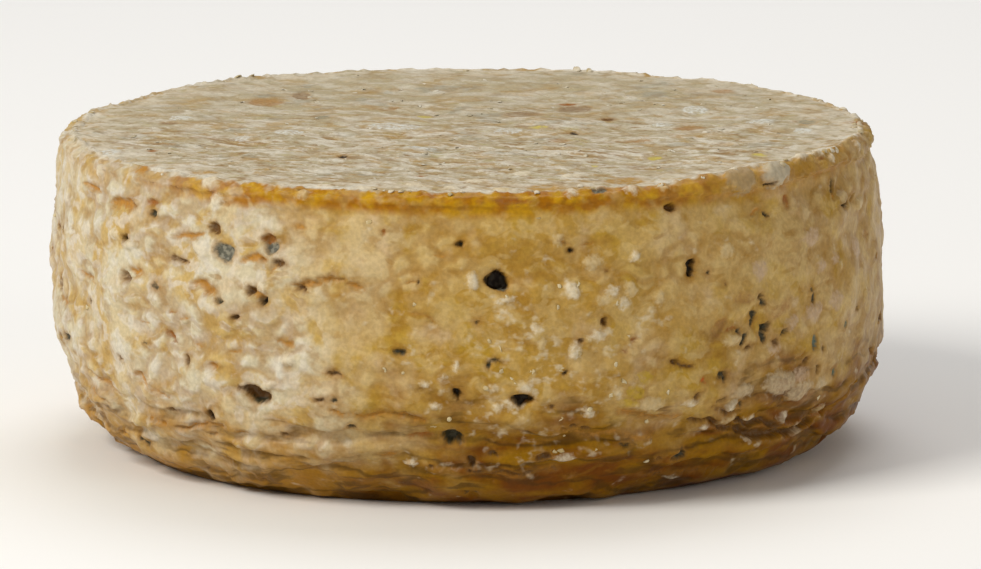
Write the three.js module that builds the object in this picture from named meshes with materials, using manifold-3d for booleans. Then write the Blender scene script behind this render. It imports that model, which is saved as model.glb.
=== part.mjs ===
// A round, natural-rind cheese wheel: one solid piece of cheese with a flat foot,
// a belly that swells above a chamfered foot edge, and a pressed top whose crust
// hangs over the side as a thin lip. Millimetres, +Z up, standing on z = 0.
//
// Azimuth 0 is the front (-Y) and grows towards +X, in degrees where it is a
// named size and in radians inside the functions.

import * as THREE from 'three';
import { ImprovedNoise } from 'three/addons/math/ImprovedNoise.js';
import { mergeVertices } from 'three/addons/utils/BufferGeometryUtils.js';
import Module from 'manifold-3d';

// ---------------------------------------------------------------- sizes (mm)

const BELLY_RADIUS = 95;        // widest half-width of the wheel
const HEIGHT = 72;              // foot to pressed top
const FOOT_RADIUS = 79;         // flat foot that the wheel rests on
const FOOT_EDGE_HEIGHT = 27;    // height over which the foot edge rounds out
const FOOT_EDGE_POWER = 1.5;    // 2 is a round edge, 1 is a straight chamfer
const SHOULDER_START = 44;      // height where the belly starts to draw in
const NECK_RADIUS = 91.3;       // radius at the top of the side, under the lip
const MELTED_RADIUS = 93.2;     // the same on the left, where no lip is left

const LIP_STAND = 0.7;          // how far the crust lip stands out past the neck
const LIP_DEPTH = 4.4;          // how far the lip comes down the side
const LIP_ROUND = 1.1;          // rounding of the top corner
const GROOVE_DEPTH = 0.9;       // how far the groove under the lip cuts in
const LIP_WAVE = 0.55;          // scallops of the lip, in and out
const LIP_HEM_WAVE = 0.8;       // scallops of the lip's lower hem, up and down
const LIP_EXTRA = 1.2;          // how much deeper the lip is on the right
const MELTED = { azimuth: -88, half: 46 };      // where the lip has melted away, degrees

const DOME_TOP = 0.45;          // keeps the domes level with the plain profile
const PILLOW_RELIEF = 1.5;      // broad soft lumps of pressed curd
const PILLOW_LENGTH = 22;
const KNOB_RELIEF = 1.1;        // smaller curd knobs
const KNOB_LENGTH = 10;
const FOLD_RELIEF = 1.3;        // level folds in the lower third
const FOLD_SPACING = 6.5;
const FOLD_LENGTH = 34;
const TOP_RELIEF = 0.55;        // unevenness of the pressed top
const TOP_WAVE_LENGTH = 24;
const TOP_CURD_RELIEF = 0.35;
const TOP_DISH = 0.5;           // the middle of the top lies this much lower
const TOP_CROWN = 0.3;          // room kept under HEIGHT for the highest lumps
const FOOT_WAVE = 1.2;          // the foot's outline, in and out

// Ragged ledge low on the right, where the belly overhangs the foot edge.
const LEDGE = { from: 27, to: 76, height: 18, sag: 6, cut: 3, bulge: 1.4, gape: 2.4 };

// Two soft drips that hang from the lip: azimuth, half-width, drop and bulge.
const DRIPS = [
  { azimuth: 40.5, half: 3.2, drop: 1.6, bulge: 0.7 },
  { azimuth: 47.5, half: 3.8, drop: 2.2, bulge: 1.0 },
];

// Eyes that show from the front: azimuth, height, width, tallness, depth, and
// lean, the turn of the long axis in degrees, clockwise seen from outside.
const FRONT_EYES = [
  [3.9, 52.6, 5.4, 3.6, 3.2, 25],
  [30.3, 53.1, 3.0, 4.8, 3.0, -12],
  [28.0, 66.0, 3.2, 2.2, 1.8, -20],
  [7.0, 26.9, 5.2, 2.6, 2.6, 8],
  [-2.1, 18.1, 4.2, 3.6, 2.6, 40],
  [-29.5, 25.2, 7.2, 3.8, 3.0, 20],
  [-37.2, 19.2, 2.9, 3.0, 3.2, 0],
  [-27.0, 58.9, 4.2, 5.0, 2.6, -10],
  [-33.9, 56.0, 4.8, 3.6, 2.6, 30],
  [-35.5, 60.4, 3.2, 2.8, 2.0, 0],
  [-17.0, 51.0, 15.0, 2.0, 2.0, 3],
  [-36.7, 47.8, 7.0, 3.0, 2.2, 22],
  [-57.3, 61.9, 11.0, 2.4, 2.0, -8],
  [-42.9, 35.8, 4.6, 3.2, 2.4, 40],
  [-61.1, 21.5, 11.0, 2.0, 2.2, 32],
  [42.6, 37.0, 2.6, 4.2, 2.2, -15],
];

// Eyes of the sides that face away, drawn at random between these sizes.
const HIDDEN_EYES = { count: 12, from: 84, to: 282, width: [2.8, 8.5], squash: 0.5, depth: 2.4 };

const COLUMNS = 144;            // points round the side, an even number
const FOOT_ROWS = 10;
const SIDE_ROWS = 10;
const SIDE_TOP = HEIGHT - 11;   // top of the side's rows, below the deepest drip
const RANDOM_SEED = 20;

const RIND = { color: 0xc9a66b, roughness: 0.62, metalness: 0.0 };

// ------------------------------------------------------------ small helpers

const clamp = (value, low, high) => Math.min(high, Math.max(low, value));
const mix = (a, b, share) => a + (b - a) * share;

function smoothStep(low, high, value) {
  const share = clamp((value - low) / (high - low), 0, 1);
  return share * share * (3 - 2 * share);
}

// Bell curve: 1 at the centre, about 0.37 one half-width away.
const bell = (offset, half) => Math.exp(-((offset / half) ** 2));

// Signed turn from one azimuth to another, in degrees within -180 to 180.
function turnBetween(fromDegrees, toDegrees) {
  return THREE.MathUtils.euclideanModulo(toDegrees - fromDegrees + 180, 360) - 180;
}

function seededRandom(seed) {
  let state = seed;
  return () => {
    state = (state * 1664525 + 1013904223) % 4294967296;
    return state / 4294967296;
  };
}

const noise = new ImprovedNoise();

// Smooth noise of about -1 to 1 at a point, with one wave per length.
function waves(point, length, height = length, shift = 0) {
  return 1.6 * noise.noise(point.x / length + shift, point.y / length - shift, point.z / height);
}

// A repeatable number from 0 to 1 for a cell of space and a salt.
function cellNumber(x, y, z, salt) {
  let hash = Math.imul(x, 73856093) ^ Math.imul(y, 19349663) ^ Math.imul(z, 83492791);
  hash = Math.imul(hash ^ (hash >>> 13) ^ Math.imul(salt, 40503), 1274126177);
  return ((hash ^ (hash >>> 16)) >>> 0) / 4294967296;
}

// Domes of pressed curd, one round each random middle, that meet in crevices:
// about 0.5 on a middle and down to -0.8 where three of them meet.
function curdDomes(point, length, height, salt) {
  const cell = [point.x / length, point.y / length, point.z / height];
  const [x, y, z] = cell.map(Math.floor);
  let nearest = Infinity;
  for (let step = 0; step < 27; step += 1) {
    const corner = [x + (step % 3) - 1, y + (Math.floor(step / 3) % 3) - 1, z + Math.floor(step / 9) - 1];
    const distance = Math.hypot(...corner.map((start, axis) =>
      start + 0.1 + 0.8 * cellNumber(...corner, salt + axis) - cell[axis]));
    nearest = Math.min(nearest, distance);
  }
  return DOME_TOP - 1.6 * nearest * nearest;
}

const atAzimuth = (azimuth, radius, height) =>
  new THREE.Vector3(radius * Math.sin(azimuth), -radius * Math.cos(azimuth), height);

// ------------------------------------------------------------- the profile

// The lip is whole at the front and right and has melted away on the left.
function meltedShare(azimuth) {
  return bell(turnBetween(MELTED.azimuth, THREE.MathUtils.radToDeg(azimuth)), MELTED.half);
}

const lipShare = (azimuth) => 1 - 0.85 * meltedShare(azimuth);
const neckRadius = (azimuth) => mix(NECK_RADIUS, MELTED_RADIUS, meltedShare(azimuth));
const lipRadius = (azimuth) => neckRadius(azimuth) + LIP_STAND * lipShare(azimuth);

// Plain radius of the wheel at a height, before any relief.
function bodyRadius(azimuth, height) {
  if (height < FOOT_EDGE_HEIGHT) {
    const drop = 1 - height / FOOT_EDGE_HEIGHT;
    const reach = (1 - drop ** FOOT_EDGE_POWER) ** (1 / FOOT_EDGE_POWER);
    return mix(FOOT_RADIUS, BELLY_RADIUS, reach);
  }
  const rise = clamp((height - SHOULDER_START) / (HEIGHT - SHOULDER_START), 0, 1);
  return mix(BELLY_RADIUS, neckRadius(azimuth), rise ** 1.7);
}

function dripShare(azimuth, size) {
  const degrees = THREE.MathUtils.radToDeg(azimuth);
  return DRIPS.reduce((sum, drip) => {
    return sum + drip[size] * bell(turnBetween(drip.azimuth, degrees), drip.half);
  }, 0);
}

function lipDepth(azimuth) {
  const rim = atAzimuth(azimuth, NECK_RADIUS, HEIGHT);
  const hem = LIP_HEM_WAVE * waves(rim, KNOB_LENGTH, KNOB_LENGTH, 5);
  const rightShare = bell(turnBetween(90, THREE.MathUtils.radToDeg(azimuth)), 60);
  return LIP_DEPTH + LIP_EXTRA * rightShare + hem + dripShare(azimuth, 'drop');
}

// ---------------------------------------------------------------- relief

// The ledge's line sags towards its right end; its cut is sharp on the upper side.
function ledgeRelief(azimuth, height) {
  const degrees = turnBetween(0, THREE.MathUtils.radToDeg(azimuth));
  const along = (degrees - LEDGE.from) / (LEDGE.to - LEDGE.from);
  if (along <= 0 || along >= 1) return 0;
  const wander = 1.1 * Math.sin(degrees * 0.55) + 0.7 * Math.sin(degrees * 1.3);
  const line = LEDGE.height - LEDGE.sag * along * along + wander;
  const above = height - line;
  const strength = Math.sqrt(Math.sin(Math.PI * along));
  const lumpy = 1 + 0.5 * Math.sin(degrees * 1.1);
  const overhang = LEDGE.bulge * lumpy * bell(above - LEDGE.gape * 1.6, LEDGE.gape * 1.2);
  const cut = LEDGE.cut * bell(above, above > 0 ? LEDGE.gape * 0.55 : LEDGE.gape * 1.5);
  return strength * (overhang - cut);
}

// How far the rind stands proud of the plain profile at a point of the side.
function sideRelief(azimuth, height) {
  const point = atAzimuth(azimuth, BELLY_RADIUS, height);
  const degrees = THREE.MathUtils.radToDeg(azimuth);
  const pillowy = 0.7 + 0.5 * bell(turnBetween(-65, degrees), 60);
  const low = 1 - smoothStep(18, 34, height);
  const pillows = PILLOW_RELIEF * pillowy * curdDomes(point, PILLOW_LENGTH, PILLOW_LENGTH * 0.6, 1);
  const knobs = KNOB_RELIEF * pillowy * curdDomes(point, KNOB_LENGTH, KNOB_LENGTH * 0.7, 11);
  const folds = FOLD_RELIEF * low * waves(point, FOLD_LENGTH, FOLD_SPACING, 3);
  const footFade = smoothStep(0, 6, height);
  const topFade = 1 - 0.6 * smoothStep(HEIGHT - 14, HEIGHT - 5, height);
  const swelling = pillows + knobs + folds;
  return footFade * topFade * swelling + footFade * ledgeRelief(azimuth, height);
}

function footEdgeRadius(azimuth) {
  return FOOT_RADIUS + FOOT_WAVE * waves(atAzimuth(azimuth, FOOT_RADIUS, 0), PILLOW_LENGTH * 1.5);
}

function topHeight(point) {
  const wave = TOP_RELIEF * waves(point, TOP_WAVE_LENGTH, TOP_WAVE_LENGTH, 7);
  const curd = TOP_CURD_RELIEF * waves(point, KNOB_LENGTH, KNOB_LENGTH, 2);
  const dish = -TOP_DISH * (1 - (Math.hypot(point.x, point.y) / NECK_RADIUS) ** 2);
  return HEIGHT - TOP_CROWN + wave + curd + dish;
}

// ----------------------------------------------------------------- rings
//
// The wheel is a stack of rings, from the middle of the foot up the side and
// over the top to its middle. A ring is its points; rings near the two middles
// have fewer points, and neighbouring rings are stitched whatever their counts.

function ringOf(count, pointAt) {
  const points = [];
  for (let index = 0; index < count; index += 1) {
    points.push(pointAt((index / count) * Math.PI * 2));
  }
  return points;
}

function footRings() {
  const inner = [[1, 0], [12, 0.16], [24, 0.34], [48, 0.55], [COLUMNS / 2, 0.78]];
  const rings = inner.map(([count, share]) =>
    ringOf(count, (azimuth) => atAzimuth(azimuth, footEdgeRadius(azimuth) * share, 0)));
  rings.push(ringOf(COLUMNS, (azimuth) => atAzimuth(azimuth, footEdgeRadius(azimuth), 0)));
  return rings;
}

function sideHeights() {
  const heights = [];
  for (let row = 1; row <= FOOT_ROWS; row += 1) {
    const turn = (row / FOOT_ROWS) * Math.PI * 0.5;
    heights.push(FOOT_EDGE_HEIGHT * mix(1 - Math.cos(turn), row / FOOT_ROWS, 0.6));
  }
  for (let row = 1; row <= SIDE_ROWS; row += 1) {
    heights.push(mix(FOOT_EDGE_HEIGHT, SIDE_TOP, row / SIDE_ROWS));
  }
  return heights;
}

function sideRings() {
  return sideHeights().map((height) => ringOf(COLUMNS, (azimuth) => {
    const plain = bodyRadius(azimuth, height);
    const edge = (footEdgeRadius(azimuth) - FOOT_RADIUS) * (1 - smoothStep(0, 20, height));
    return atAzimuth(azimuth, plain + edge + sideRelief(azimuth, height), height);
  }));
}

// Groove, underside, face and crown of the lip, each as [height under the top,
// radius], worked out for one azimuth.
function lipProfile(azimuth) {
  const depth = lipDepth(azimuth);
  const share = lipShare(azimuth);
  const rim = atAzimuth(azimuth, NECK_RADIUS, HEIGHT);
  const wave = LIP_WAVE * waves(rim, KNOB_LENGTH, KNOB_LENGTH, 1);
  const out = lipRadius(azimuth) + wave + share * dripShare(azimuth, 'bulge');
  const neck = bodyRadius(azimuth, HEIGHT - depth) + sideRelief(azimuth, HEIGHT - depth - 1) * 0.7;
  return [
    [depth + 1.9, neck + 0.25 * (1 - share)],
    [depth + 0.5, neck - GROOVE_DEPTH * share],
    [depth - 0.5, mix(neck, out - 0.1, share)],
    [depth * 0.55, out + 0.15],
    [LIP_ROUND * 0.7, out - 0.25],
    [LIP_ROUND * 0.1, out - LIP_ROUND],
  ];
}

function lipRings() {
  const rowCount = lipProfile(0).length;
  return Array.from({ length: rowCount }, (unused, row) => ringOf(COLUMNS, (azimuth) => {
    const [under, radius] = lipProfile(azimuth)[row];
    const crown = topHeight(atAzimuth(azimuth, radius, HEIGHT)) - HEIGHT + TOP_CROWN;
    const lift = smoothStep(LIP_DEPTH, 0, under);
    return atAzimuth(azimuth, radius, HEIGHT - under + crown * lift * 0.8);
  }));
}

function topRings() {
  const outer = [[COLUMNS, 0.955], [COLUMNS / 2, 0.9], [COLUMNS / 2, 0.82], [60, 0.73]];
  const inner = [[60, 0.62], [45, 0.5], [30, 0.37], [20, 0.24], [10, 0.12], [1, 0]];
  return [...outer, ...inner].map(([count, share]) => ringOf(count, (azimuth) => {
    const point = atAzimuth(azimuth, lipRadius(azimuth) * share, HEIGHT);
    point.z = topHeight(point);
    return point;
  }));
}

// Walks round two neighbouring rings together, one triangle at a time.
function stitch(lower, upper, triangles) {
  let low = 0;
  let high = 0;
  const lowSteps = lower.length > 1 ? lower.length : 0;
  const highSteps = upper.length > 1 ? upper.length : 0;
  while (low < lowSteps || high < highSteps) {
    const lowNext = low < lowSteps ? (low + 1) / lowSteps : Infinity;
    const highNext = high < highSteps ? (high + 1) / highSteps : Infinity;
    const from = lower[low % lower.length];
    const across = upper[high % upper.length];
    if (lowNext <= highNext) {
      low += 1;
      triangles.push(from, lower[low % lower.length], across);
    } else {
      high += 1;
      triangles.push(from, upper[high % upper.length], across);
    }
  }
}

function wheelGeometry() {
  const rings = [...footRings(), ...sideRings(), ...lipRings(), ...topRings()];
  const triangles = [];
  for (let index = 1; index < rings.length; index += 1) {
    stitch(rings[index - 1], rings[index], triangles);
  }
  return new THREE.BufferGeometry().setFromPoints(triangles);
}

// ------------------------------------------------------------------- eyes

// One eye is a squashed ball set into the side, its long axis level or leaning.
function eyeGeometry([azimuthDegrees, height, width, tall, depth, lean]) {
  const azimuth = THREE.MathUtils.degToRad(azimuthDegrees);
  const surface = bodyRadius(azimuth, height) + sideRelief(azimuth, height);
  const geometry = new THREE.IcosahedronGeometry(1, 1);
  geometry.deleteAttribute('normal');
  geometry.deleteAttribute('uv');
  geometry.scale(width / 2, depth, tall / 2);
  geometry.rotateY(THREE.MathUtils.degToRad(lean));
  geometry.rotateZ(azimuth);
  const place = atAzimuth(azimuth, surface, height);
  return geometry.translate(place.x, place.y, place.z);
}

function hiddenEyes() {
  const random = seededRandom(RANDOM_SEED);
  return Array.from({ length: HIDDEN_EYES.count }, (unused, index) => {
    const spread = (index + 0.15 + 0.7 * random()) / HIDDEN_EYES.count;
    const width = mix(...HIDDEN_EYES.width, random() ** 2);
    const tall = clamp(width * HIDDEN_EYES.squash, 2.2, 3.8);
    const azimuth = mix(HIDDEN_EYES.from, HIDDEN_EYES.to, spread);
    const height = mix(14, 62, random());
    return [azimuth, height, width, tall, HIDDEN_EYES.depth, mix(-25, 25, random())];
  });
}

// --------------------------------------------------------- joining and cutting

const wasm = await Module();
wasm.setup();

function toSolid(geometry) {
  const merged = mergeVertices(geometry, 1e-4);
  return new wasm.Manifold(new wasm.Mesh({
    numProp: 3,
    vertProperties: new Float32Array(merged.attributes.position.array),
    triVerts: new Uint32Array(merged.index.array),
  }));
}

function toGeometry(solid) {
  const mesh = solid.getMesh();
  const geometry = new THREE.BufferGeometry();
  geometry.setAttribute('position', new THREE.BufferAttribute(mesh.vertProperties, 3));
  geometry.setIndex(new THREE.BufferAttribute(mesh.triVerts, 1));
  return geometry;
}

function cheeseWheel() {
  let solid = toSolid(wheelGeometry());
  for (const eye of [...FRONT_EYES, ...hiddenEyes()]) {
    solid = solid.subtract(toSolid(eyeGeometry(eye)));
  }
  const geometry = toGeometry(solid);
  geometry.computeBoundingBox();
  const centre = geometry.boundingBox.getCenter(new THREE.Vector3());
  geometry.translate(-centre.x, -centre.y, 0);
  geometry.computeVertexNormals();
  const wheel = new THREE.Mesh(geometry, new THREE.MeshStandardMaterial(RIND));
  wheel.name = 'cheese_wheel';
  return wheel;
}

const group = new THREE.Group();
group.name = 'natural_rind_cheese';
group.add(cheeseWheel());

export default group;
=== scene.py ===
# %% [markdown]
# # A round, natural-rind cheese wheel
# The real object is one whole wheel of farmhouse cheese, 19 cm across. Its form was pressed
# in a mould, its top carries the print of the mould's mesh, and months in a cellar gave it
# a rind: matte beige on the top, moist amber and cream on the side, with eyes, crevices and
# spots of grey-green mould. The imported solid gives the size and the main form. Blender adds
# the rind: its fine relief, its eyes and its colours.

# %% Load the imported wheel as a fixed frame
import math
import random

import bmesh
import bpy
import numpy as np
from mathutils import Matrix, Vector, noise
from mathutils.bvhtree import BVHTree


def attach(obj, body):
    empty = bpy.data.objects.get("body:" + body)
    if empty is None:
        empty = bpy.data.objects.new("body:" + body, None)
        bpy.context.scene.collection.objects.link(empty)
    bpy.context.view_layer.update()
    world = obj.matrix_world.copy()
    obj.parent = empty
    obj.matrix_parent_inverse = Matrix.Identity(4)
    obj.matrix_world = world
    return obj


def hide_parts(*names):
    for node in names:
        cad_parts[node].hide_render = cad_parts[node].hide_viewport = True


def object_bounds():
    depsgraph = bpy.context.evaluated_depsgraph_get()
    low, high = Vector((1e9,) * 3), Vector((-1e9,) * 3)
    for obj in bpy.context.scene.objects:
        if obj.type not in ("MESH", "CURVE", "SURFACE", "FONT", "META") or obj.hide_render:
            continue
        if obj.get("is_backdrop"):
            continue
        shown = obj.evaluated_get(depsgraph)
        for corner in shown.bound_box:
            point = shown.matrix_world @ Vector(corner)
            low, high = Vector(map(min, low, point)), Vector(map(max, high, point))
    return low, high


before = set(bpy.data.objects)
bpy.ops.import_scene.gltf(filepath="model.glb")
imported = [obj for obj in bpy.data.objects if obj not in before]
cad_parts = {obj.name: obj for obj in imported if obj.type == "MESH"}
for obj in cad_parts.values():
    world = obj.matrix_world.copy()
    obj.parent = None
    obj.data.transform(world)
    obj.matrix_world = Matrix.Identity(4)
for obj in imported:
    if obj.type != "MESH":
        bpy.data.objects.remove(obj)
cad_low, cad_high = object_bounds()
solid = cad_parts["cheese_wheel"]
print("solid from", cad_low[:], "to", cad_high[:])

# %% [markdown]
# Everything below is measured in metres, so a size in millimetres is written as a number
# times MM. The driving sizes come from the solid's own box: the belly's radius and the
# wheel's height. Colours are written as the hex values a painter would pick on a screen,
# and one function turns them into the linear values that light is worked out with.

# %% Units, driving sizes and the two helpers
MM = 0.001
BELLY = (cad_high.x - cad_low.x) / 2
HEIGHT = cad_high.z


def hex_colour(code):
    """The linear red, green, blue and alpha of an sRGB hex colour."""
    parts = [int(code[i : i + 2], 16) / 255 for i in (0, 2, 4)]
    linear = [c / 12.92 if c <= 0.04045 else ((c + 0.055) / 1.055) ** 2.4 for c in parts]
    return (*linear, 1.0)


def add_node(tree, kind, inputs=None, **settings):
    """Adds a node. An input is a value, a socket, or a node whose first output is meant."""
    node = tree.nodes.new(kind)
    for name, value in settings.items():
        setattr(node, name, value)
    for key, value in (inputs or {}).items():
        named = [s for s in node.inputs if s.enabled and s.name == key]
        socket = named[0] if named else node.inputs[key]
        if isinstance(value, bpy.types.Node):
            value = next(output for output in value.outputs if output.enabled)
        if isinstance(value, bpy.types.NodeSocket):
            tree.links.new(value, socket)
        else:
            socket.default_value = value
    return node


print(f"belly radius {BELLY / MM:.1f} mm, height {HEIGHT / MM:.1f} mm")

# %% [markdown]
# The camera comes first, because the eyes of the front are placed by looking through it.
# The photograph was taken from far away with a long lens, about ten degrees above the
# table. A point of the wheel's axis at half height lies at WHEEL_CENTRE in the photograph,
# and BELLY_PIXELS is how large the belly's radius is there.

# %% Camera at the photograph's place
PHOTO_SIZE = (981, 569)
WHEEL_CENTRE = (468.0, 280.6)
BELLY_PIXELS = 414.3
BELLY_FITTED = 95 * MM
CAMERA_DISTANCE = 20 * BELLY_FITTED
CAMERA_PITCH = math.radians(10.17)
CAMERA_ROLL = math.radians(-0.2)
SENSOR = 36.0

look = Vector((0, math.cos(CAMERA_PITCH), -math.sin(CAMERA_PITCH)))
level_right = Vector((1, 0, 0))
level_up = level_right.cross(look)
camera_right = level_right * math.cos(CAMERA_ROLL) + level_up * math.sin(CAMERA_ROLL)
camera_up = camera_right.cross(look)
camera_place = Vector((0, 0, 36 * MM)) - look * CAMERA_DISTANCE
focal_pixels = BELLY_PIXELS * CAMERA_DISTANCE / BELLY_FITTED

camera = bpy.data.objects.new("camera", bpy.data.cameras.new("camera"))
bpy.context.scene.collection.objects.link(camera)
camera.matrix_world = Matrix(
    [(*row, place) for *row, place in zip(camera_right, camera_up, -look, camera_place)]
    + [(0, 0, 0, 1)]
)
camera.data.lens = focal_pixels * SENSOR / PHOTO_SIZE[0]
camera.data.sensor_width = SENSOR
camera.data.shift_x = (PHOTO_SIZE[0] / 2 - WHEEL_CENTRE[0]) / PHOTO_SIZE[0]
camera.data.shift_y = (WHEEL_CENTRE[1] - PHOTO_SIZE[1] / 2) / PHOTO_SIZE[0]
bpy.context.scene.camera = camera
print(f"lens {camera.data.lens:.0f} mm")


def photo_ray(x, y):
    """The direction in which the camera sees a pixel of the photograph."""
    across = (x - WHEEL_CENTRE[0]) / focal_pixels
    down = (y - WHEEL_CENTRE[1]) / focal_pixels
    return (look + camera_right * across - camera_up * down).normalized()


# %% [markdown]
# The rind is one closed skin laid over the solid. It could be the solid's own mesh with a
# subdivision modifier, but that mesh is coarse and has tiny triangles round its eyes. A
# fresh grid is cleaner. A core ring runs inside the wheel at half its height. From it,
# rays go out to every row and column of a grid, and where they leave the solid the skin
# has a point. The grid is finer where the photograph looks, and round the lip.

# %% The grid's rows and columns
CORE_RADIUS = BELLY - HEIGHT / 2
COLUMNS = 528
BACK_SPACING = 1.7  # how much wider the columns stand at the back than at the front
FRONT_HALF_ANGLE = 98.0
LIP_ZONE = (61.5 * MM, HEIGHT)


def column_azimuths():
    """Azimuths in radians, 0 at the front, closer together at the front."""
    fine = np.linspace(-180, 180, 7201)
    wide = 1 / (1 + np.exp(-(np.abs(fine) - FRONT_HALF_ANGLE) / 4))
    density = 1 / (1 + (BACK_SPACING - 1) * wide)
    share = np.concatenate([[0], np.cumsum((density[1:] + density[:-1]) / 2)])
    steps = np.arange(COLUMNS) / COLUMNS * share[-1]
    return np.radians(np.interp(steps, share, fine))


def grid_rows():
    """(radius, height, number of points) of each row's aim on the wheel's square outline."""
    rows = [(0.0, 0.0, 1)]
    rows += [(radius * MM, 0.0, COLUMNS // 16) for radius in (4, 9, 15)]
    rows += [(radius * MM, 0.0, COLUMNS // 8) for radius in (22, 30)]
    rows += [(radius * MM, 0.0, COLUMNS // 4) for radius in (40, 52, 64)]
    rows += [(radius * MM, 0.0, COLUMNS) for radius in (73, 77, 79.5, 81.5, 84, 87, 90, 93)]
    side = np.arange(0.6 * MM, LIP_ZONE[0], 0.86 * MM)
    lip = np.arange(LIP_ZONE[0], HEIGHT + 0.1 * MM, 0.52 * MM)
    rows += [(BELLY, height, COLUMNS) for height in (*side, *lip)]
    rim = np.arange(BELLY - 0.3 * MM, BELLY - 6 * MM, -0.7 * MM)
    outer = np.arange(BELLY - 6 * MM, 56 * MM, -1.12 * MM)
    rows += [(radius, HEIGHT, COLUMNS) for radius in (*rim, *outer)]
    rows += [(radius, HEIGHT, COLUMNS // 2) for radius in np.arange(55 * MM, 30 * MM, -1.5 * MM)]
    rows += [(radius, HEIGHT, COLUMNS // 4) for radius in np.arange(28.5 * MM, 14 * MM, -1.8 * MM)]
    rows += [(radius * MM, HEIGHT, COLUMNS // 8) for radius in (12, 9.5)]
    rows += [(radius * MM, HEIGHT, COLUMNS // 16) for radius in (7, 4.5, 2)]
    return rows + [(0.0, HEIGHT, 1)]


azimuths = column_azimuths()
rows = grid_rows()
print(len(rows), "rows,", sum(row[2] for row in rows), "points")

# %% [markdown]
# The solid's flat triangles would show through a fine skin, so the reach of the rays is
# smoothed along rows and columns before the points are set. Near the lip it is smoothed
# more, because the next step draws the lip's hem finer than the solid has it. The foot
# stays exactly flat.

# %% Cast and smooth the skin
PASSES_ROUND = 14
PASSES_ALONG = 8
PASSES_AT_LIP = 26


def cast_reach(tree, row):
    """How far each ray of one row goes from the core before it leaves the solid."""
    radius, height, count = row
    core_radius = min(radius, CORE_RADIUS)
    reach = np.empty(count)
    for index, azimuth in enumerate(azimuths[:: COLUMNS // count] if count > 1 else [0.0]):
        out = Vector((math.sin(azimuth), -math.cos(azimuth), 0))
        start = out * core_radius + Vector((0, 0, HEIGHT / 2))
        aim = out * radius + Vector((0, 0, height))
        reach[index] = tree.ray_cast(start, (aim - start).normalized())[3]
    return reach


def smoothed(block, round_passes, along_passes):
    """The block of reaches, averaged with its neighbours round and along the skin."""
    for _ in range(round_passes):
        block = (np.roll(block, 1, 1) + 2 * block + np.roll(block, -1, 1)) / 4
    for _ in range(along_passes):
        inner = (block[:-2] + 2 * block[1:-1] + block[2:]) / 4
        block = np.vstack([block[:1], inner, block[-1:]])
    return block


def skin_reaches():
    """The smoothed reach of every row."""
    tree = BVHTree.FromPolygons(
        [v.co for v in solid.data.vertices], [p.vertices for p in solid.data.polygons]
    )
    reaches = [cast_reach(tree, row) for row in rows]
    full = [index for index, row in enumerate(rows) if row[2] == COLUMNS]
    block = np.array([reaches[index] for index in full])
    soft = smoothed(block, PASSES_ROUND, PASSES_ALONG)
    molten = smoothed(block, PASSES_ROUND, PASSES_AT_LIP)
    for line, index in enumerate(full):
        radius, height, _ = rows[index]
        near_lip = radius > BELLY - 5 * MM and height > LIP_ZONE[0]
        reaches[index] = molten[line] if near_lip else soft[line]
    return reaches


def skin_points(reaches):
    """Places of the skin's points, row by row."""
    places = []
    for (radius, height, count), reach in zip(rows, reaches):
        angles = azimuths[:: COLUMNS // count] if count > 1 else np.zeros(1)
        core_radius = min(radius, CORE_RADIUS)
        aim = np.array([radius - core_radius, height - HEIGHT / 2])
        aim /= np.linalg.norm(aim)
        radii = core_radius + aim[0] * reach
        heights = HEIGHT / 2 + aim[1] * reach
        if height == 0.0 and radius < 79 * MM:
            heights[:] = 0.0
        places.append(np.stack([radii * np.sin(angles), -radii * np.cos(angles), heights], 1))
    return places


places = skin_points(skin_reaches())
print("lowest and highest point", places[0][0], places[-1][0])

# %% [markdown]
# Where the crust of the top overhangs the side there is a lip, and under it a groove. At
# the front its hem lies where the photograph shows it. On the hidden sides it is read from
# the solid: on each column it is where the wall steps out most. At the left the lip has
# melted into a soft corner, and at the right it is thick and stands up a little.

# %% Draw the lip and its groove
LIP_STAND = 0.5 * MM
GROOVE_DEPTH = 0.35 * MM
SOFT_LIP = (-12.0, 36.0)  # azimuth and half width of where the lip has no sharp edge
SCALLOP = 0.25 * MM
HEM_DEPTHS = (3.2 * MM, 7.5 * MM)  # how far below the top the hem can lie
FIRM_EDGE = (-0.1 * MM, 0.5 * MM)  # where a firm lip steps out, above the hem
SOFT_EDGE = (-1.8 * MM, 1.4 * MM)
GROOVE_REACH = 1.2 * MM
# (azimuth in degrees, height in mm) of the hem at the front
SEEN_HEM = [
    (-30, 69.8), (-18, 69.3), (-10, 69.0), (0, 68.4), (10, 68.4), (20, 68.9),
    (30, 68.4), (40, 68.0), (50, 68.3), (57, 68.7), (64, 69.0), (78, 67.6),
]  # fmt: skip
MELT_AZIMUTH, MELT_HALF_WIDTH = -95.0, 60.0
RIM_RISE = 1.3 * MM
RIM_PLACE, RIM_WIDTH = 5 * MM, 3.6 * MM  # how far inside the belly the rim rises most
RISE_AZIMUTH, RISE_HALF_WIDTH = 57.0, 26.0


def step_up(value, start, end):
    """0 below start, 1 above end, and smooth between them."""
    share = np.clip((value - start) / (end - start), 0, 1)
    return share * share * (3 - 2 * share)


def bell(azimuth, middle, half_width, power=4):
    """1 at an azimuth in degrees, falling to 0 about half_width away from it."""
    degrees = (np.degrees(azimuth) - middle + 180) % 360 - 180
    return np.exp(-((degrees / half_width) ** power))


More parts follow.
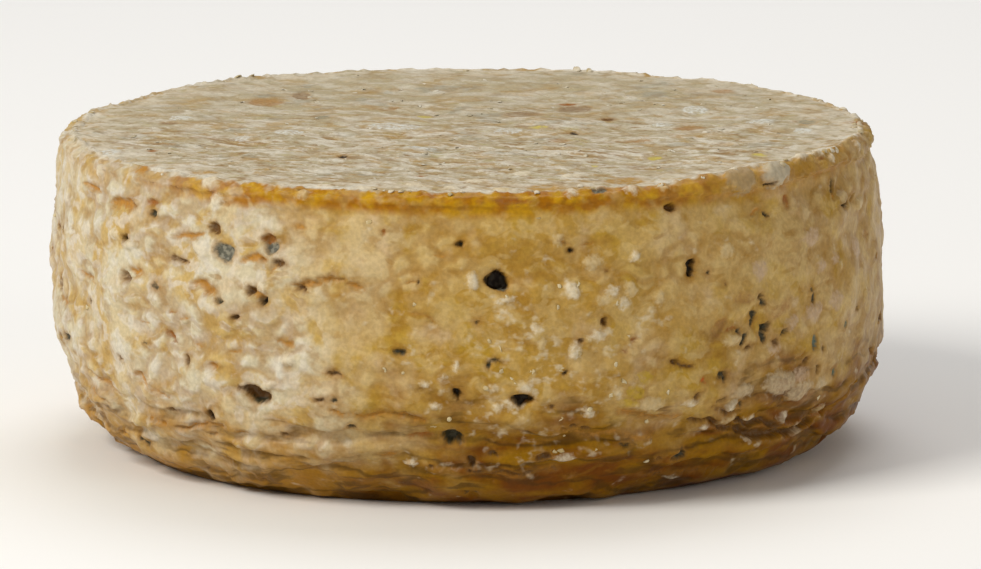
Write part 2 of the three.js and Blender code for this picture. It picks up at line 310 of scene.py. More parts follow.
def hem_heights(places):
    """Height of the lip's hem on each column."""
    lip_rows = [i for i, row in enumerate(rows) if row[0] == BELLY and row[1] >= LIP_ZONE[0]]
    block = np.array([places[i] for i in lip_rows])
    radii = np.hypot(block[:, :, 0], block[:, :, 1])
    step = np.diff(radii, axis=0)
    depth = HEIGHT - block[1:, :, 2]
    step[(depth < HEM_DEPTHS[0]) | (depth > HEM_DEPTHS[1])] = -1
    best = np.argmax(step, axis=0)
    hem = block[best, np.arange(COLUMNS), 2] + 0.3 * MM
    seen_azimuth, seen_height = np.array(SEEN_HEM).T
    degrees = np.degrees(azimuths)
    seen = (degrees > seen_azimuth[0]) & (degrees < seen_azimuth[-1])
    hem[seen] = np.interp(degrees[seen], seen_azimuth, seen_height) * MM
    for _ in range(6):
        hem = (np.roll(hem, 1) + 2 * hem + np.roll(hem, -1)) / 4
    melt = bell(azimuths, MELT_AZIMUTH, MELT_HALF_WIDTH, 6)
    return hem + (HEIGHT - HEM_DEPTHS[0] - hem) * melt


hem = hem_heights(places)
wave = np.sin(azimuths * 61) * np.sin(azimuths * 23 + 1) + 0.7 * np.sin(azimuths * 97 + 2)
hem += SCALLOP * wave * (1 + np.sin(azimuths * 7)) / 2
firm = 1 - bell(azimuths, MELT_AZIMUTH, MELT_HALF_WIDTH, 6)
soft_lip = bell(azimuths, *SOFT_LIP)
groove_depth = GROOVE_DEPTH * (1 - 0.9 * soft_lip)
rim_rise = RIM_RISE * bell(azimuths, RISE_AZIMUTH, RISE_HALF_WIDTH)
for index, (radius, height, count) in enumerate(rows):
    if count == COLUMNS and height > 0 and radius > BELLY - 14 * MM:
        row = places[index]
        above = row[:, 2] - hem
        firm_step = step_up(above, *FIRM_EDGE)
        soft_step = step_up(above, *SOFT_EDGE)
        stand = LIP_STAND * (firm_step + (soft_step - firm_step) * soft_lip)
        stand *= 1 - step_up(row[:, 2], HEIGHT - 2 * MM, HEIGHT)
        groove = np.exp(-((np.minimum(above, 0) / GROOVE_REACH) ** 2)) * (above < 0.2 * MM)
        stand = (stand - groove_depth * groove) * firm
        inset = (np.hypot(row[:, 0], row[:, 1]) - (BELLY - RIM_PLACE)) / RIM_WIDTH
        row[:, 0] += np.sin(azimuths) * stand
        row[:, 1] -= np.cos(azimuths) * stand
        row[:, 2] += rim_rise * np.exp(-(inset**2)) * step_up(above, 1 * MM, 3 * MM)
print(f"hem between {hem.min() / MM:.1f} and {hem.max() / MM:.1f} mm")

# %% [markdown]
# The rows are joined into one closed skin. Where two rows have different numbers of
# points, a quad shrinks to a triangle, so there is no gap and no open edge.

# %% Join the rows into one mesh


def skin_faces(counts):
    """Faces between neighbouring rows, whose counts are equal or divide each other."""
    starts = np.concatenate([[0], np.cumsum(counts)])
    faces = []
    for index in range(len(counts) - 1):
        low, high = counts[index], counts[index + 1]
        many = max(low, high)
        for step in range(many):
            after = (step + 1) % many
            a = starts[index] + step * low // many
            b = starts[index] + after * low // many
            c = starts[index + 1] + after * high // many
            d = starts[index + 1] + step * high // many
            faces.append([*dict.fromkeys(int(corner) for corner in (a, b, c, d))])
    return faces


rind_mesh = bpy.data.meshes.new("rind")
rind_mesh.from_pydata(
    np.concatenate(places).tolist(), [], skin_faces([len(row) for row in places])
)
rind_mesh.update()
print(len(rind_mesh.vertices), "points,", len(rind_mesh.polygons), "faces")

# %% [markdown]
# The eyes are holes and cracks between the curds. Some are black holes, some hold grey or
# green mould, and some are shallow and orange-brown. Those of the front are written down
# as they are seen: the pixel of the photograph, then real sizes in millimetres, then how
# far the long side leans up to the right, in degrees, and the kind. A ray through the
# pixel finds the place on the skin. On the sides that no photograph shows, a seeded
# generator places the same kinds.

# %% Eyes, cracks and pits
# kind: (x, y, width mm, tall mm, depth mm, lean)
FRONT_EYES = {
    # the near-black of a hole is partly its own dark colour and partly painted shade in its depth
    "hole": [  # black and deep
        (496, 281, 5.2, 3.3, 3.0, -22), (691, 264, 2.7, 2.1, 2.2, 0), (690, 270, 1.8, 2.2, 2.0, 0),
        (690, 275, 0.9, 1.6, 1.6, 0), (522, 400, 4.8, 2.5, 2.6, -6), (210, 415, 2.6, 2.6, 2.4, 0),
        (124, 236, 2.5, 1.8, 2.4, 0), (261, 301, 2.1, 1.9, 2.4, 0), (457, 393, 1.5, 2.1, 2.2, 0),
        (261, 260, 2.0, 1.4, 1.8, 0), (570, 250, 1.6, 1.1, 1.4, -45), (565, 372, 1.4, 0.9, 1.1, 0),
        (769, 184, 3.8, 0.8, 1.2, 2), (761, 297, 1.8, 1.4, 1.4, 0), (818, 370, 1.7, 1.4, 1.4, 0),
        (343, 156, 2.2, 3.4, 0.5, 0), (573, 133, 1.8, 3.4, 0.5, 0), (478, 153, 1.0, 2.4, 0.5, 0),
    ],
    "grey": [  # grey bloom
        (500, 287, 3.0, 1.6, 1.2, -10), (224, 251, 5.2, 3.7, 0.9, -20),
        (272, 247, 3.2, 2.8, 1.2, 0), (599, 190, 3.4, 1.7, 0.6, 0),
    ],
    "umber": [  # brown inside
        (670, 206, 2.8, 2.0, 1.8, 12), (255, 393, 7.6, 3.2, 2.6, -16),
        (215, 229, 3.4, 2.5, 1.5, 0), (278, 263, 3.6, 2.2, 1.3, -12), (252, 290, 2.6, 2.6, 1.6, 0),
        (233, 316, 2.4, 1.7, 1.8, 0), (605, 321, 1.8, 2.2, 1.8, 0), (131, 202, 4.8, 0.8, 1.0, -8),
        (177, 259, 6.6, 1.1, 1.4, -10), (126, 276, 2.6, 1.2, 1.6, 0), (210, 291, 2.4, 1.3, 1.4, 0),
        (187, 361, 1.2, 3.0, 1.4, 10), (120, 360, 2.4, 1.1, 0.9, 0),
        (108, 385, 5.0, 0.8, 1.4, -18), (300, 287, 3.4, 1.7, 2.0, -8),
        (171, 410, 2.4, 1.2, 1.0, 0), (553, 406, 1.3, 0.8, 1.0, 0), (580, 342, 1.6, 1.3, 1.2, 0),
        (585, 428, 3.2, 1.0, 1.1, -10), (572, 426, 2.6, 0.8, 0.8, -4),
        (544, 457, 3.8, 1.8, 1.2, 10), (472, 462, 1.8, 2.6, 1.6, 30), (493, 455, 3.0, 0.9, 1.0, 0),
        (573, 479, 3.4, 1.2, 1.2, 0), (431, 467, 1.3, 0.8, 1.0, 0), (333, 375, 3.8, 1.0, 1.2, 0),
        (318, 398, 3.4, 1.0, 1.2, 0), (284, 436, 2.0, 1.1, 1.0, 0), (228, 462, 2.4, 1.0, 1.0, 0),
        (206, 471, 2.4, 1.0, 1.0, 0), (263, 482, 3.0, 0.9, 1.0, 0), (313, 469, 2.6, 0.9, 1.0, 0),
        (333, 481, 2.6, 0.9, 1.0, 0), (422, 482, 2.6, 0.9, 1.0, 0), (724, 284, 0.8, 0.8, 0.8, 0),
        (751, 347, 3.2, 1.2, 1.0, 20), (777, 341, 2.2, 1.4, 1.0, 30), (676, 361, 2.3, 1.4, 1.2, 0),
        (686, 365, 4.2, 1.1, 1.0, -14), (807, 359, 2.6, 1.2, 1.2, 30),
        (699, 397, 2.4, 0.8, 1.0, 20), (752, 451, 3.0, 0.9, 0.8, 0), (660, 460, 1.5, 0.9, 0.8, 0),
        (607, 119, 3.4, 3.0, 0.3, 0), (303, 189, 2.4, 0.7, 0.5, 0),
    ],
    "rust": [  # red-brown
        (525, 404, 3.0, 1.2, 1.0, -8), (152, 204, 3.4, 2.0, 1.0, 0),
        (170, 338, 5.0, 2.2, 1.7, -34), (172, 314, 1.4, 0.9, 0.6, 0), (383, 234, 1.5, 1.8, 0.6, 0),
        (606, 271, 1.0, 1.2, 0.8, 0), (421, 437, 7.0, 1.5, 1.2, 9), (634, 341, 2.0, 2.2, 0.5, 0),
        (624, 354, 1.1, 1.0, 0.6, 0), (786, 203, 1.9, 3.6, 0.6, -6), (733, 330, 3.2, 1.2, 1.2, -6),
        (866, 237, 3.6, 1.6, 0.6, 0), (568, 105, 4.2, 5.0, 0.3, 0), (152, 151, 2.2, 4.0, 0.3, 0),
        (484, 165, 2.4, 2.0, 0.3, 0), (420, 176, 1.4, 2.4, 0.3, 0), (857, 121, 1.8, 6.0, 0.3, 0),
        (822, 159, 3.0, 1.0, 0.4, 12), (511, 203, 9.0, 2.2, 0.2, 0), (546, 188, 2.4, 1.4, 0.3, 0),
    ],
    "mould": [  # dark grey-green inside
        (452, 437, 4.2, 3.3, 2.0, -20), (258, 398, 4.6, 2.0, 1.4, -10),
        (678, 457, 3.8, 3.0, 1.2, 30), (469, 491, 4.8, 1.8, 1.0, 0), (153, 213, 2.6, 1.5, 1.2, 0),
        (154, 286, 2.2, 1.2, 0.8, 0), (219, 300, 2.2, 1.5, 0.8, 0), (90, 301, 2.2, 0.9, 0.8, 0),
        (144, 343, 1.5, 0.9, 0.6, 0), (62, 229, 5.0, 1.2, 0.8, 0), (66, 338, 6.0, 2.2, 1.0, 0),
        (144, 443, 5.0, 1.8, 1.0, -10), (460, 245, 1.8, 1.3, 1.6, 0), (419, 281, 1.2, 0.9, 1.2, 0),
        (477, 322, 1.5, 0.9, 0.8, 0), (400, 351, 3.2, 1.7, 0.9, -10), (497, 361, 4.4, 1.0, 0.9, 0),
        (489, 365, 1.0, 1.8, 0.7, 0), (641, 391, 1.2, 0.9, 0.8, 0), (626, 446, 3.4, 1.1, 1.0, -4),
        (352, 427, 2.4, 1.5, 1.0, 0), (335, 400, 2.0, 1.3, 0.8, 0), (709, 272, 0.8, 1.2, 0.8, 0),
        (766, 214, 2.4, 1.2, 1.0, -20), (833, 185, 3.6, 2.0, 1.4, 45),
        (845, 203, 4.6, 1.3, 1.2, 0), (764, 303, 1.5, 2.0, 1.0, 0), (755, 314, 1.5, 2.6, 1.0, 18),
        (752, 322, 1.2, 2.4, 0.9, 0), (766, 327, 2.8, 2.0, 1.6, 20), (763, 336, 1.5, 3.2, 1.0, 10),
        (745, 339, 1.3, 3.4, 1.0, -30), (739, 331, 2.4, 1.0, 1.0, 0),
        (785, 331, 3.0, 1.1, 1.0, 35), (813, 290, 1.6, 1.4, 0.7, 0), (815, 298, 1.2, 2.6, 0.7, -8),
        (858, 309, 2.6, 1.2, 0.8, 0), (823, 347, 1.2, 1.0, 0.8, 0), (723, 375, 3.0, 1.3, 1.1, 10),
        (725, 379, 0.9, 1.6, 0.9, 0), (723, 401, 3.3, 1.0, 1.3, 20), (742, 404, 1.4, 1.0, 1.0, 0),
        (785, 402, 1.5, 0.9, 0.8, 0),
    ],
    "tawny": [
        (269, 239, 3.4, 2.4, 1.4, 0),
    ],
    "amber": [  # shallow cracks that run out below
        (258, 296, 3.2, 2.4, 1.0, -30), (122, 205, 11.0, 3.6, 1.2, 4),
        (91, 188, 11.0, 1.9, 1.2, -6), (190, 237, 11.0, 2.2, 1.0, 10),
        (253, 261, 7.6, 2.6, 1.2, 8), (274, 270, 3.0, 1.6, 0.8, 40), (134, 273, 6.0, 2.4, 1.4, -4),
        (203, 289, 7.6, 3.2, 1.2, -14), (142, 322, 4.4, 1.0, 1.0, 0),
        (88, 277, 11.0, 1.5, 1.2, -10), (213, 366, 2.9, 2.2, 1.4, -20),
        (101, 380, 15.0, 1.3, 1.6, -16), (141, 380, 5.0, 3.2, 1.4, -20),
        (305, 285, 8.5, 1.5, 1.7, 8), (331, 280, 7.5, 1.4, 1.6, 4), (353, 286, 6.0, 1.3, 1.3, -20),
        (286, 344, 5.4, 1.6, 1.4, -8), (299, 228, 2.2, 1.5, 0.5, 0), (63, 301, 7.0, 1.8, 1.0, 0),
        (98, 397, 7.0, 1.6, 1.2, -20), (124, 435, 5.0, 1.3, 1.2, -12),
        (184, 320, 3.4, 0.9, 0.8, 10), (160, 395, 6.0, 0.9, 0.9, -10),
        (236, 352, 4.2, 0.9, 0.9, 8), (196, 345, 3.6, 0.8, 0.8, -12), (410, 282, 3.6, 0.8, 0.9, 6),
        (440, 256, 2.9, 0.8, 0.6, 0), (563, 244, 2.4, 1.3, 1.0, -20), (588, 245, 2.4, 0.7, 0.6, 0),
        (418, 315, 3.4, 0.8, 0.9, -4), (428, 319, 3.4, 0.9, 1.1, -45),
        (387, 455, 4.0, 1.2, 1.2, 0), (242, 433, 3.2, 1.1, 1.1, 0), (212, 434, 3.2, 1.1, 1.1, 0),
        (755, 213, 3.8, 1.6, 0.7, 0), (834, 196, 1.6, 3.2, 1.2, 0), (853, 197, 3.6, 0.9, 1.2, 30),
        (800, 357, 6.0, 0.8, 1.1, 22), (140, 172, 3.4, 5.0, 0.2, 0),
    ],
    "gold": [  # greenish yellow
        (645, 377, 4.4, 3.4, 0.1, 0), (637, 392, 5.0, 3.0, 0.1, 0), (627, 404, 5.0, 2.2, 0.1, 0),
    ],
    "blush": [  # pale brown stains
        (720, 329, 5.8, 3.0, 1.1, 50), (745, 298, 6.0, 2.6, 0.3, 0), (783, 308, 8.0, 3.0, 0.2, 20),
        (866, 237, 3.0, 4.0, 0.2, 0), (723, 91, 5.0, 6.0, 0.2, 0), (265, 102, 8.0, 8.0, 0.2, 0),
        (394, 108, 2.8, 5.0, 0.3, 0), (560, 140, 3.4, 6.0, 0.2, 0), (640, 141, 6.0, 4.0, 0.2, 0),
        (690, 128, 7.0, 6.0, 0.2, 0),
    ],
    "teal": [  # blue-green mould
        (847, 325, 1.6, 2.3, 0.8, 0), (815, 341, 1.8, 3.6, 1.0, -24), (835, 371, 1.7, 1.2, 0.8, 0),
        (745, 454, 1.6, 1.2, 0.7, 0),
    ],
    "spot": [  # an orange dot
        (705, 380, 1.0, 1.1, 0.4, 0),
    ],
    "stain": [  # brown stains of the top
        (350, 157, 7.0, 3.6, 0.3, -8), (576, 109, 8.0, 11.0, 0.2, -10),
        (524, 114, 9.0, 8.0, 0.2, 6), (301, 96, 3.4, 9.0, 0.2, 0), (170, 123, 3.6, 4.0, 0.3, 0),
    ],
    "yellow": [  # yellow dots of the top
        (539, 127, 5.0, 3.6, 0.1, -6), (656, 158, 3.8, 4.4, 0.1, 0), (596, 166, 2.2, 4.0, 0.1, 0),
        (425, 117, 3.8, 6.0, 0.1, 0), (759, 155, 4.0, 4.4, 0.1, 0),
    ],
    "moss": [  # grey-green stains
        (322, 117, 4.0, 6.0, 0.2, 0), (806, 122, 5.0, 6.0, 0.2, 0),
    ],
    "ochre": [  # on the lip's face
        (803, 166, 8.0, 2.8, 0.2, 10), (838, 153, 6.0, 2.6, 0.2, 14), (716, 181, 5.0, 2.4, 0.2, 0),
        (205, 172, 6.0, 3.4, 0.2, 0), (623, 181, 9.0, 9.0, 0.1, 0), (546, 188, 8.6, 7.0, 0.1, 0),
        (582, 188, 5.0, 3.4, 0.1, 0), (398, 191, 8.0, 3.0, 0.1, 0), (465, 194, 6.0, 2.0, 0.1, 0),
    ],
}  # fmt: skip
# (width mm, depth mm, kind, pixels along it) of the long crevices
FRONT_CREVICES = [
    # the first line is partly painted shade: the shadow under the pale lump above it, drawn as a
    # shallow amber crack
    (1.2, 1.0, "amber", [(620, 412), (648, 417), (676, 418)]),
    (1.4, 1.6, "umber", [(690, 421), (708, 419), (722, 426), (740, 431)]),
    (1.9, 2.2, "umber", [(740, 431), (758, 434), (776, 433), (792, 431)]),
    (1.5, 1.8, "umber", [(792, 431), (804, 423), (814, 416)]),
    (1.6, 1.8, "umber", [(733, 419), (748, 425), (764, 421), (780, 427)]),
    (1.2, 1.5, "rust", [(814, 416), (828, 406), (842, 395), (853, 384)]),
    (1.2, 1.2, "umber", [(714, 409), (724, 413), (738, 411)]),
    (0.9, 0.9, "amber", [(560, 430), (590, 436), (622, 434), (650, 440)]),
    (0.8, 0.8, "umber", [(470, 470), (510, 474), (556, 470)]),
    (0.8, 0.9, "umber", [(640, 477), (676, 474), (716, 468)]),
    (0.9, 0.9, "amber", [(330, 412), (362, 418), (396, 413), (424, 420)]),
    (1.0, 1.0, "amber", [(150, 420), (184, 428), (222, 425)]),
]
EYE_COLOURS = {
    # partly painted shade: the dark depth of a hole
    "hole": "1e1208",
    "umber": "65431a",
    "mould": "332f1e",
    "grey": "5e5c50",
    "teal": "48645c",
    "amber": "ae7a2e",
    "rust": "8e5518",
    "spot": "b8501c",
    "yellow": "bfb044",
    "gold": "b3952a",
    "tawny": "8e5a1c",
    "ochre": "a67c26",
    "stain": "806444",
    "blush": "9c7444",
    "moss": "7c7f6c",
}
OPEN_KINDS = ("amber", "rust")  # shallow cracks that run out at their lower side
FAINT_KINDS = ("yellow", "gold", "ochre", "stain", "blush", "moss")  # stains without an edge
print(sum(map(len, FRONT_EYES.values())), "eyes and stains seen in the photograph")

# %% [markdown]
# The eyes of the hidden sides follow the solid's own rule for its hidden eyes, a small
# number generator with a fixed seed, so that the dark colours lie in the solid's pits.
# Smaller ones are drawn after them.

# %% Eyes that the photograph does not show
SEED = 20
SOLID_EYES = 12
SMALL_HIDDEN_EYES = 150


def repeatable_numbers(seed):
    """Numbers from 0 to 1, the same each run."""
    state = seed
    while True:
        state = (state * 1664525 + 1013904223) % 4294967296
        yield state / 4294967296


def hidden_eyes():
    """(azimuth in degrees, height, width, tall, depth, lean, kind) of the unseen eyes."""
    draw = repeatable_numbers(SEED)
    eyes = []
    for index in range(SOLID_EYES):
        azimuth = 84 + 198 * (index + 0.15 + 0.7 * next(draw)) / SOLID_EYES
        width = 2.8 + 5.7 * next(draw) ** 2
        tall = min(max(width * 0.5, 2.2), 3.8)
        height = 14 + 48 * next(draw)
        lean = -25 + 50 * next(draw)
        kind = ("hole", "umber", "mould")[index % 3]
        eyes.append((azimuth, height, width, tall, 2.0, lean, kind))
    chance = random.Random(SEED)
    kinds = ["hole", "umber", "umber", "mould", "mould", "mould", "amber", "amber", "amber", "rust"]
    for _ in range(SMALL_HIDDEN_EYES):
        kind = chance.choice(kinds)
        slit = kind in ("amber", "umber")
        width = 1 + 5 * chance.random() ** 2 * (1.7 if slit else 0.7)
        tall = width * chance.uniform(0.22, 0.4) if slit else width * chance.uniform(0.5, 1)
        azimuth, height = chance.uniform(76, 284), chance.triangular(5, 66, 34)
        eyes.append((azimuth, height, width, max(tall, 0.8), 1.3, chance.uniform(-20, 20), kind))
    return eyes


print(len(hidden_eyes()), "eyes on the hidden sides")

# %% [markdown]
# Lumps stand out of the skin in the same way as eyes sink into it: beads of clear whey
# that hang from the lip, white grains of dry curd, and the crumbs that hang over the
# ledge. Their table is written like that of the eyes, with a height instead of a depth.

# %% Lumps, beads and crumbs
# kind: (x, y, width mm, tall mm, height mm, lean)
FRONT_LUMPS = {
    "bead": [  # whey that hung from the lip
        (777, 171, 9.4, 5.6, 0.9, 8),
    ],
    "whey": [  # a dull one
        (741, 177, 8.6, 6.0, 0.8, 6),
    ],
    "white": [  # dry curd
        (451, 188, 3.6, 2.6, 0.6, 0), (558, 188, 2.6, 2.2, 0.5, 0), (571, 190, 2.6, 3.6, 0.4, 0),
        (522, 174, 4.4, 5.0, 0.3, 0), (572, 176, 5.0, 5.0, 0.3, 0), (475, 181, 5.0, 5.0, 0.3, 0),
        (415, 185, 3.4, 4.0, 0.4, 0), (322, 186, 4.4, 2.4, 0.4, 0), (365, 188, 3.4, 2.0, 0.4, 0),
        (630, 189, 3.4, 2.4, 0.4, 0), (801, 156, 4.0, 2.4, 0.5, 10), (818, 153, 3.4, 2.4, 0.5, 10),
        (832, 157, 2.4, 2.4, 0.4, 0), (857, 144, 3.0, 2.0, 0.5, 10), (99, 170, 3.6, 2.4, 0.5, 0),
        (210, 180, 4.0, 3.0, 0.5, 0), (527, 388, 3.6, 2.4, 0.4, 0), (574, 291, 2.6, 4.2, 0.5, 0),
        (575, 351, 2.6, 3.4, 0.4, 10), (590, 412, 3.0, 2.0, 0.5, -20),
        (472, 281, 3.0, 3.6, 0.4, 0), (564, 458, 4.4, 2.2, 0.5, 0), (597, 336, 4.4, 1.8, 0.3, 0),
        (537, 328, 2.8, 2.2, 0.3, 0), (514, 404, 5.0, 1.8, 0.5, 0), (436, 406, 2.8, 1.8, 0.3, 0),
        (456, 366, 1.5, 2.0, 0.3, 0), (445, 378, 1.8, 1.1, 0.3, 0), (424, 384, 2.2, 1.2, 0.3, 0),
        (493, 388, 2.6, 1.5, 0.3, 0), (497, 408, 2.6, 1.5, 0.3, 0), (635, 256, 1.8, 2.8, 0.4, 0),
        (613, 290, 3.4, 2.4, 0.3, 0), (624, 303, 3.0, 2.6, 0.3, 0), (504, 300, 4.6, 1.6, 0.5, 14),
        (410, 466, 2.2, 1.4, 0.3, 0), (671, 478, 4.0, 1.4, 0.3, 0), (249, 283, 4.4, 2.4, 0.6, 0),
        (262, 287, 2.4, 3.4, 0.5, 0), (201, 250, 6.0, 3.4, 0.6, -20), (213, 250, 1.8, 5.0, 0.5, 0),
        (128, 244, 6.0, 2.2, 0.5, 0), (112, 233, 4.4, 2.2, 0.4, 0), (216, 199, 3.4, 3.2, 0.5, 0),
        (287, 359, 4.0, 2.6, 0.5, 0), (145, 381, 4.0, 3.0, 0.4, 0), (266, 386, 4.4, 2.0, 0.5, 20),
        (729, 407, 5.0, 1.7, 0.9, 28), (749, 416, 4.6, 1.8, 0.9, -4), (704, 426, 2.2, 1.6, 0.6, 0),
        (782, 418, 2.8, 1.8, 0.8, 10), (796, 429, 2.6, 2.8, 0.7, 0), (747, 438, 3.2, 1.6, 0.6, 0),
        (692, 404, 4.6, 1.8, 0.5, 4),
    ],
    "pale": [  # curd
        (500, 190, 5.0, 2.8, 0.5, 0), (303, 194, 3.0, 2.4, 0.5, 0), (663, 187, 3.0, 2.0, 0.4, 0),
        (647, 404, 9.2, 3.2, 0.7, 0), (541, 344, 2.2, 3.6, 0.3, 0), (631, 289, 2.4, 3.2, 0.4, 0),
        (659, 298, 3.0, 3.6, 0.4, 0), (603, 300, 3.4, 2.4, 0.3, 10), (593, 262, 4.4, 3.2, 0.3, 20),
        (558, 240, 2.4, 3.2, 0.3, 0), (735, 339, 5.4, 2.6, 0.7, 8), (724, 419, 4.8, 3.0, 0.8, 20),
        (818, 410, 3.8, 3.0, 0.8, 0), (726, 250, 3.4, 3.0, 0.3, 20), (843, 197, 4.0, 3.0, 0.6, 0),
        (859, 204, 4.4, 3.2, 0.6, 0),
    ],
    "frost": [  # white film on the top
        (508, 131, 6.0, 9.0, 0.2, -10), (394, 127, 13.0, 8.0, 0.2, -6),
        (420, 148, 9.0, 4.0, 0.2, -8), (288, 132, 6.0, 8.0, 0.2, -8),
        (695, 110, 6.0, 9.0, 0.2, -8), (662, 125, 5.0, 6.0, 0.2, -8),
        (803, 131, 4.0, 7.0, 0.3, -8), (760, 122, 6.0, 8.0, 0.2, -8),
        (240, 139, 5.0, 5.0, 0.2, -8), (180, 118, 5.0, 7.0, 0.2, -8),
        (110, 152, 4.0, 7.0, 0.2, -8),
    ],
    "rosy": [  # pinkish patches of the right part
        (812, 237, 6.4, 4.2, 0.2, 0), (822, 264, 4.0, 3.0, 0.2, 20), (836, 258, 4.0, 2.6, 0.2, 0),
        (836, 300, 5.6, 4.6, 0.2, 10), (815, 312, 7.0, 4.0, 0.2, 0), (857, 248, 5.0, 5.0, 0.2, 0),
        (793, 322, 5.0, 3.0, 0.2, 20), (760, 270, 4.6, 4.4, 0.2, 0), (774, 348, 5.0, 3.0, 0.2, 0),
        (800, 376, 6.0, 3.4, 0.2, 20),
    ],
    "bloom": [  # bare curd above the ledge
        (782, 383, 11.0, 6.0, 0.4, -10), (800, 392, 9.0, 5.0, 0.4, 10),
        (745, 392, 7.0, 3.6, 0.3, 10), (820, 384, 5.0, 3.6, 0.3, 0),
    ],
}  # fmt: skip
LUMP_COLOURS = {
    "bead": "b1a994",
    "white": "d3c7ad",
    "pale": "c6b084",
    "bloom": "baa684",
    "whey": "a08a66",
    "frost": "cdcec6",
    "rosy": "b89e82",
}
# How much of a mark is broken up: by grey dust in an eye, by bare rind in a lump
DUST_SHARE = {
    "hole": 0.1, "umber": 0.15, "mould": 0.12, "grey": 0.8, "teal": 0.4, "amber": 0.1,
    "rust": 0.1, "spot": 0, "yellow": 0, "gold": 0, "tawny": 0.1, "ochre": 0, "stain": 0.2,
    "blush": 0, "moss": 0.3, "bead": 0.1, "white": 0.35, "pale": 0.3, "bloom": 0.35,
    "whey": 0.1, "frost": 0.8, "rosy": 0.4,
}  # fmt: skip
print(sum(map(len, FRONT_LUMPS.values())), "lumps")

# %% [markdown]
# Each eye becomes an ellipse that lies on the skin: a middle, a direction round the wheel,
# a direction up, and two half sizes. An eye could be cut with a boolean, but hundreds of
# them would leave a ragged mesh. Here the skin near them is divided once more, and then
# it is pushed in and out by a distance that is known at every point.

# %% Place the marks on the skin


def oval(place, normal, mark):
    """One mark as an ellipse that lies on the skin."""
    width, tall, depth, lean, kind = mark
    across = Vector((0, 0, 1)).cross(normal)
    across = across.normalized() if across.length > 0.3 else Vector((1, 0, 0))
    up = normal.cross(across).normalized()
    turn = math.radians(lean)
    return {
        "middle": np.array(place),
        "long": np.array(across * math.cos(turn) + up * math.sin(turn)),
        "short": np.array(up * math.cos(turn) - across * math.sin(turn)),
        "out": np.array(normal),
        "half": (width / 2 * MM, tall / 2 * MM),
        "depth": depth,
        "kind": kind,
    }


def place_marks(seen, unseen=(), crevices=()):
    """The marks of the photograph cast through the camera, and those of the hidden sides."""
    tree = BVHTree.FromPolygons(
        [v.co for v in rind_mesh.vertices], [p.vertices for p in rind_mesh.polygons]
    )
    marks = []
    for width, depth, kind, pixels in crevices:
        hits = [tree.ray_cast(camera_place, photo_ray(x, y))[:2] for x, y in pixels]
        for (start, normal), (end, _) in zip(hits, hits[1:]):
            link = oval((start + end) / 2, normal, (width, width, depth, 0, kind))
            link["half"] = ((end - start).length / 2 + width / 2 * MM, width / 2 * MM)
            link["ends"] = (np.array(start), np.array(end))
            marks.append(link)
    for kind, alike in seen.items():
        for x, y, *mark in alike:
            place, normal, _, _ = tree.ray_cast(camera_place, photo_ray(x, y))
            if place is not None:
                marks.append(oval(place, normal, (*mark, kind)))
    for azimuth, height, *mark in unseen:
        angle = math.radians(azimuth)
        out = Vector((math.sin(angle), -math.cos(angle), 0))
        start = out * 2 * BELLY + Vector((0, 0, height * MM))
        place, normal, _, _ = tree.ray_cast(start, -out)
        marks.append(oval(place, normal, mark))
    return marks


eyes = place_marks(FRONT_EYES, hidden_eyes(), FRONT_CREVICES)
lumps = place_marks(FRONT_LUMPS)
print(len(eyes), "eyes and", len(lumps), "lumps placed")

# %% Divide the skin near the marks
FINE_MARGIN = 0.9 * MM
LEAST_DEPTH = 0.25  # a mark shallower than this, in mm, is only a stain
TOP_NORMAL = 0.9  # marks on the flat top are shallow too, so the skin there stays as it is


def mark_distance(points, mark):
    """Signed distance of the points from a mark's rim, below 0 inside, in metres."""
    if "ends" in mark:
        start, end = mark["ends"]
        way = end - start
        share = np.clip((points - start) @ way / (way @ way), 0, 1)
        return np.linalg.norm(points - start - share[:, None] * way, axis=1) - mark["half"][1]
    offset = points - mark["middle"]
    half_long, half_short = mark["half"]
    along, aside = offset @ mark["long"], offset @ mark["short"]
    share = np.hypot(along / half_long, aside / half_short) + 1e-9
    reach = np.hypot(along, aside)
    distance = np.where(share < 1, (share - 1) * half_short, reach - reach / share)
    return np.where(np.abs(offset @ mark["out"]) < 4 * MM, distance, 1.0)


noise.seed_set(SEED)  # without a seed the module's noise differs each run


def wandering(points, size, reach):
    """The points, each moved by a smooth random amount, which makes round marks ragged."""
    moves = [noise.noise_vector(Vector(point) / size) for point in points]
    return points + np.array(moves) * reach


def mesh_points(mesh):
    """The mesh's points as an array."""
    values = np.empty(len(mesh.vertices) * 3)
    mesh.vertices.foreach_get("co", values)
    return values.reshape(-1, 3)


def near_points(points, mark, margin):
    """Indices of the points that are no further than a margin from a mark."""
    return np.flatnonzero(np.abs(points - mark["middle"]).max(1) < mark["half"][0] + margin)


def nearest_rim(points, marks):
    """The smallest distance from any mark's rim, and the index of that mark."""
    nearest = np.full(len(points), 1.0)
    index = np.zeros(len(points), int)
    for number, mark in enumerate(marks):
        near = near_points(points, mark, 4 * MM)
        distance = mark_distance(points[near], mark)
        closer = distance < nearest[near]
        nearest[near[closer]], index[near[closer]] = distance[closer], number
    return nearest, index


points = mesh_points(rind_mesh)
sunk = [m for m in eyes + lumps if m["out"][2] < TOP_NORMAL and m["depth"] > LEAST_DEPTH]
close = nearest_rim(points, sunk)[0] < FINE_MARGIN
work = bmesh.new()
work.from_mesh(rind_mesh)
work.verts.ensure_lookup_table()
edges = [e for e in work.edges if close[e.verts[0].index] and close[e.verts[1].index]]
bmesh.ops.subdivide_edges(work, edges=edges, cuts=1, use_grid_fill=True)
bmesh.ops.triangulate(work, faces=[f for f in work.faces if len(f.verts) > 4])
work.to_mesh(rind_mesh)
work.free()
triangles = sum(len(p.vertices) - 2 for p in rind_mesh.polygons)
print(len(edges), "edges divided,", triangles, "triangles")

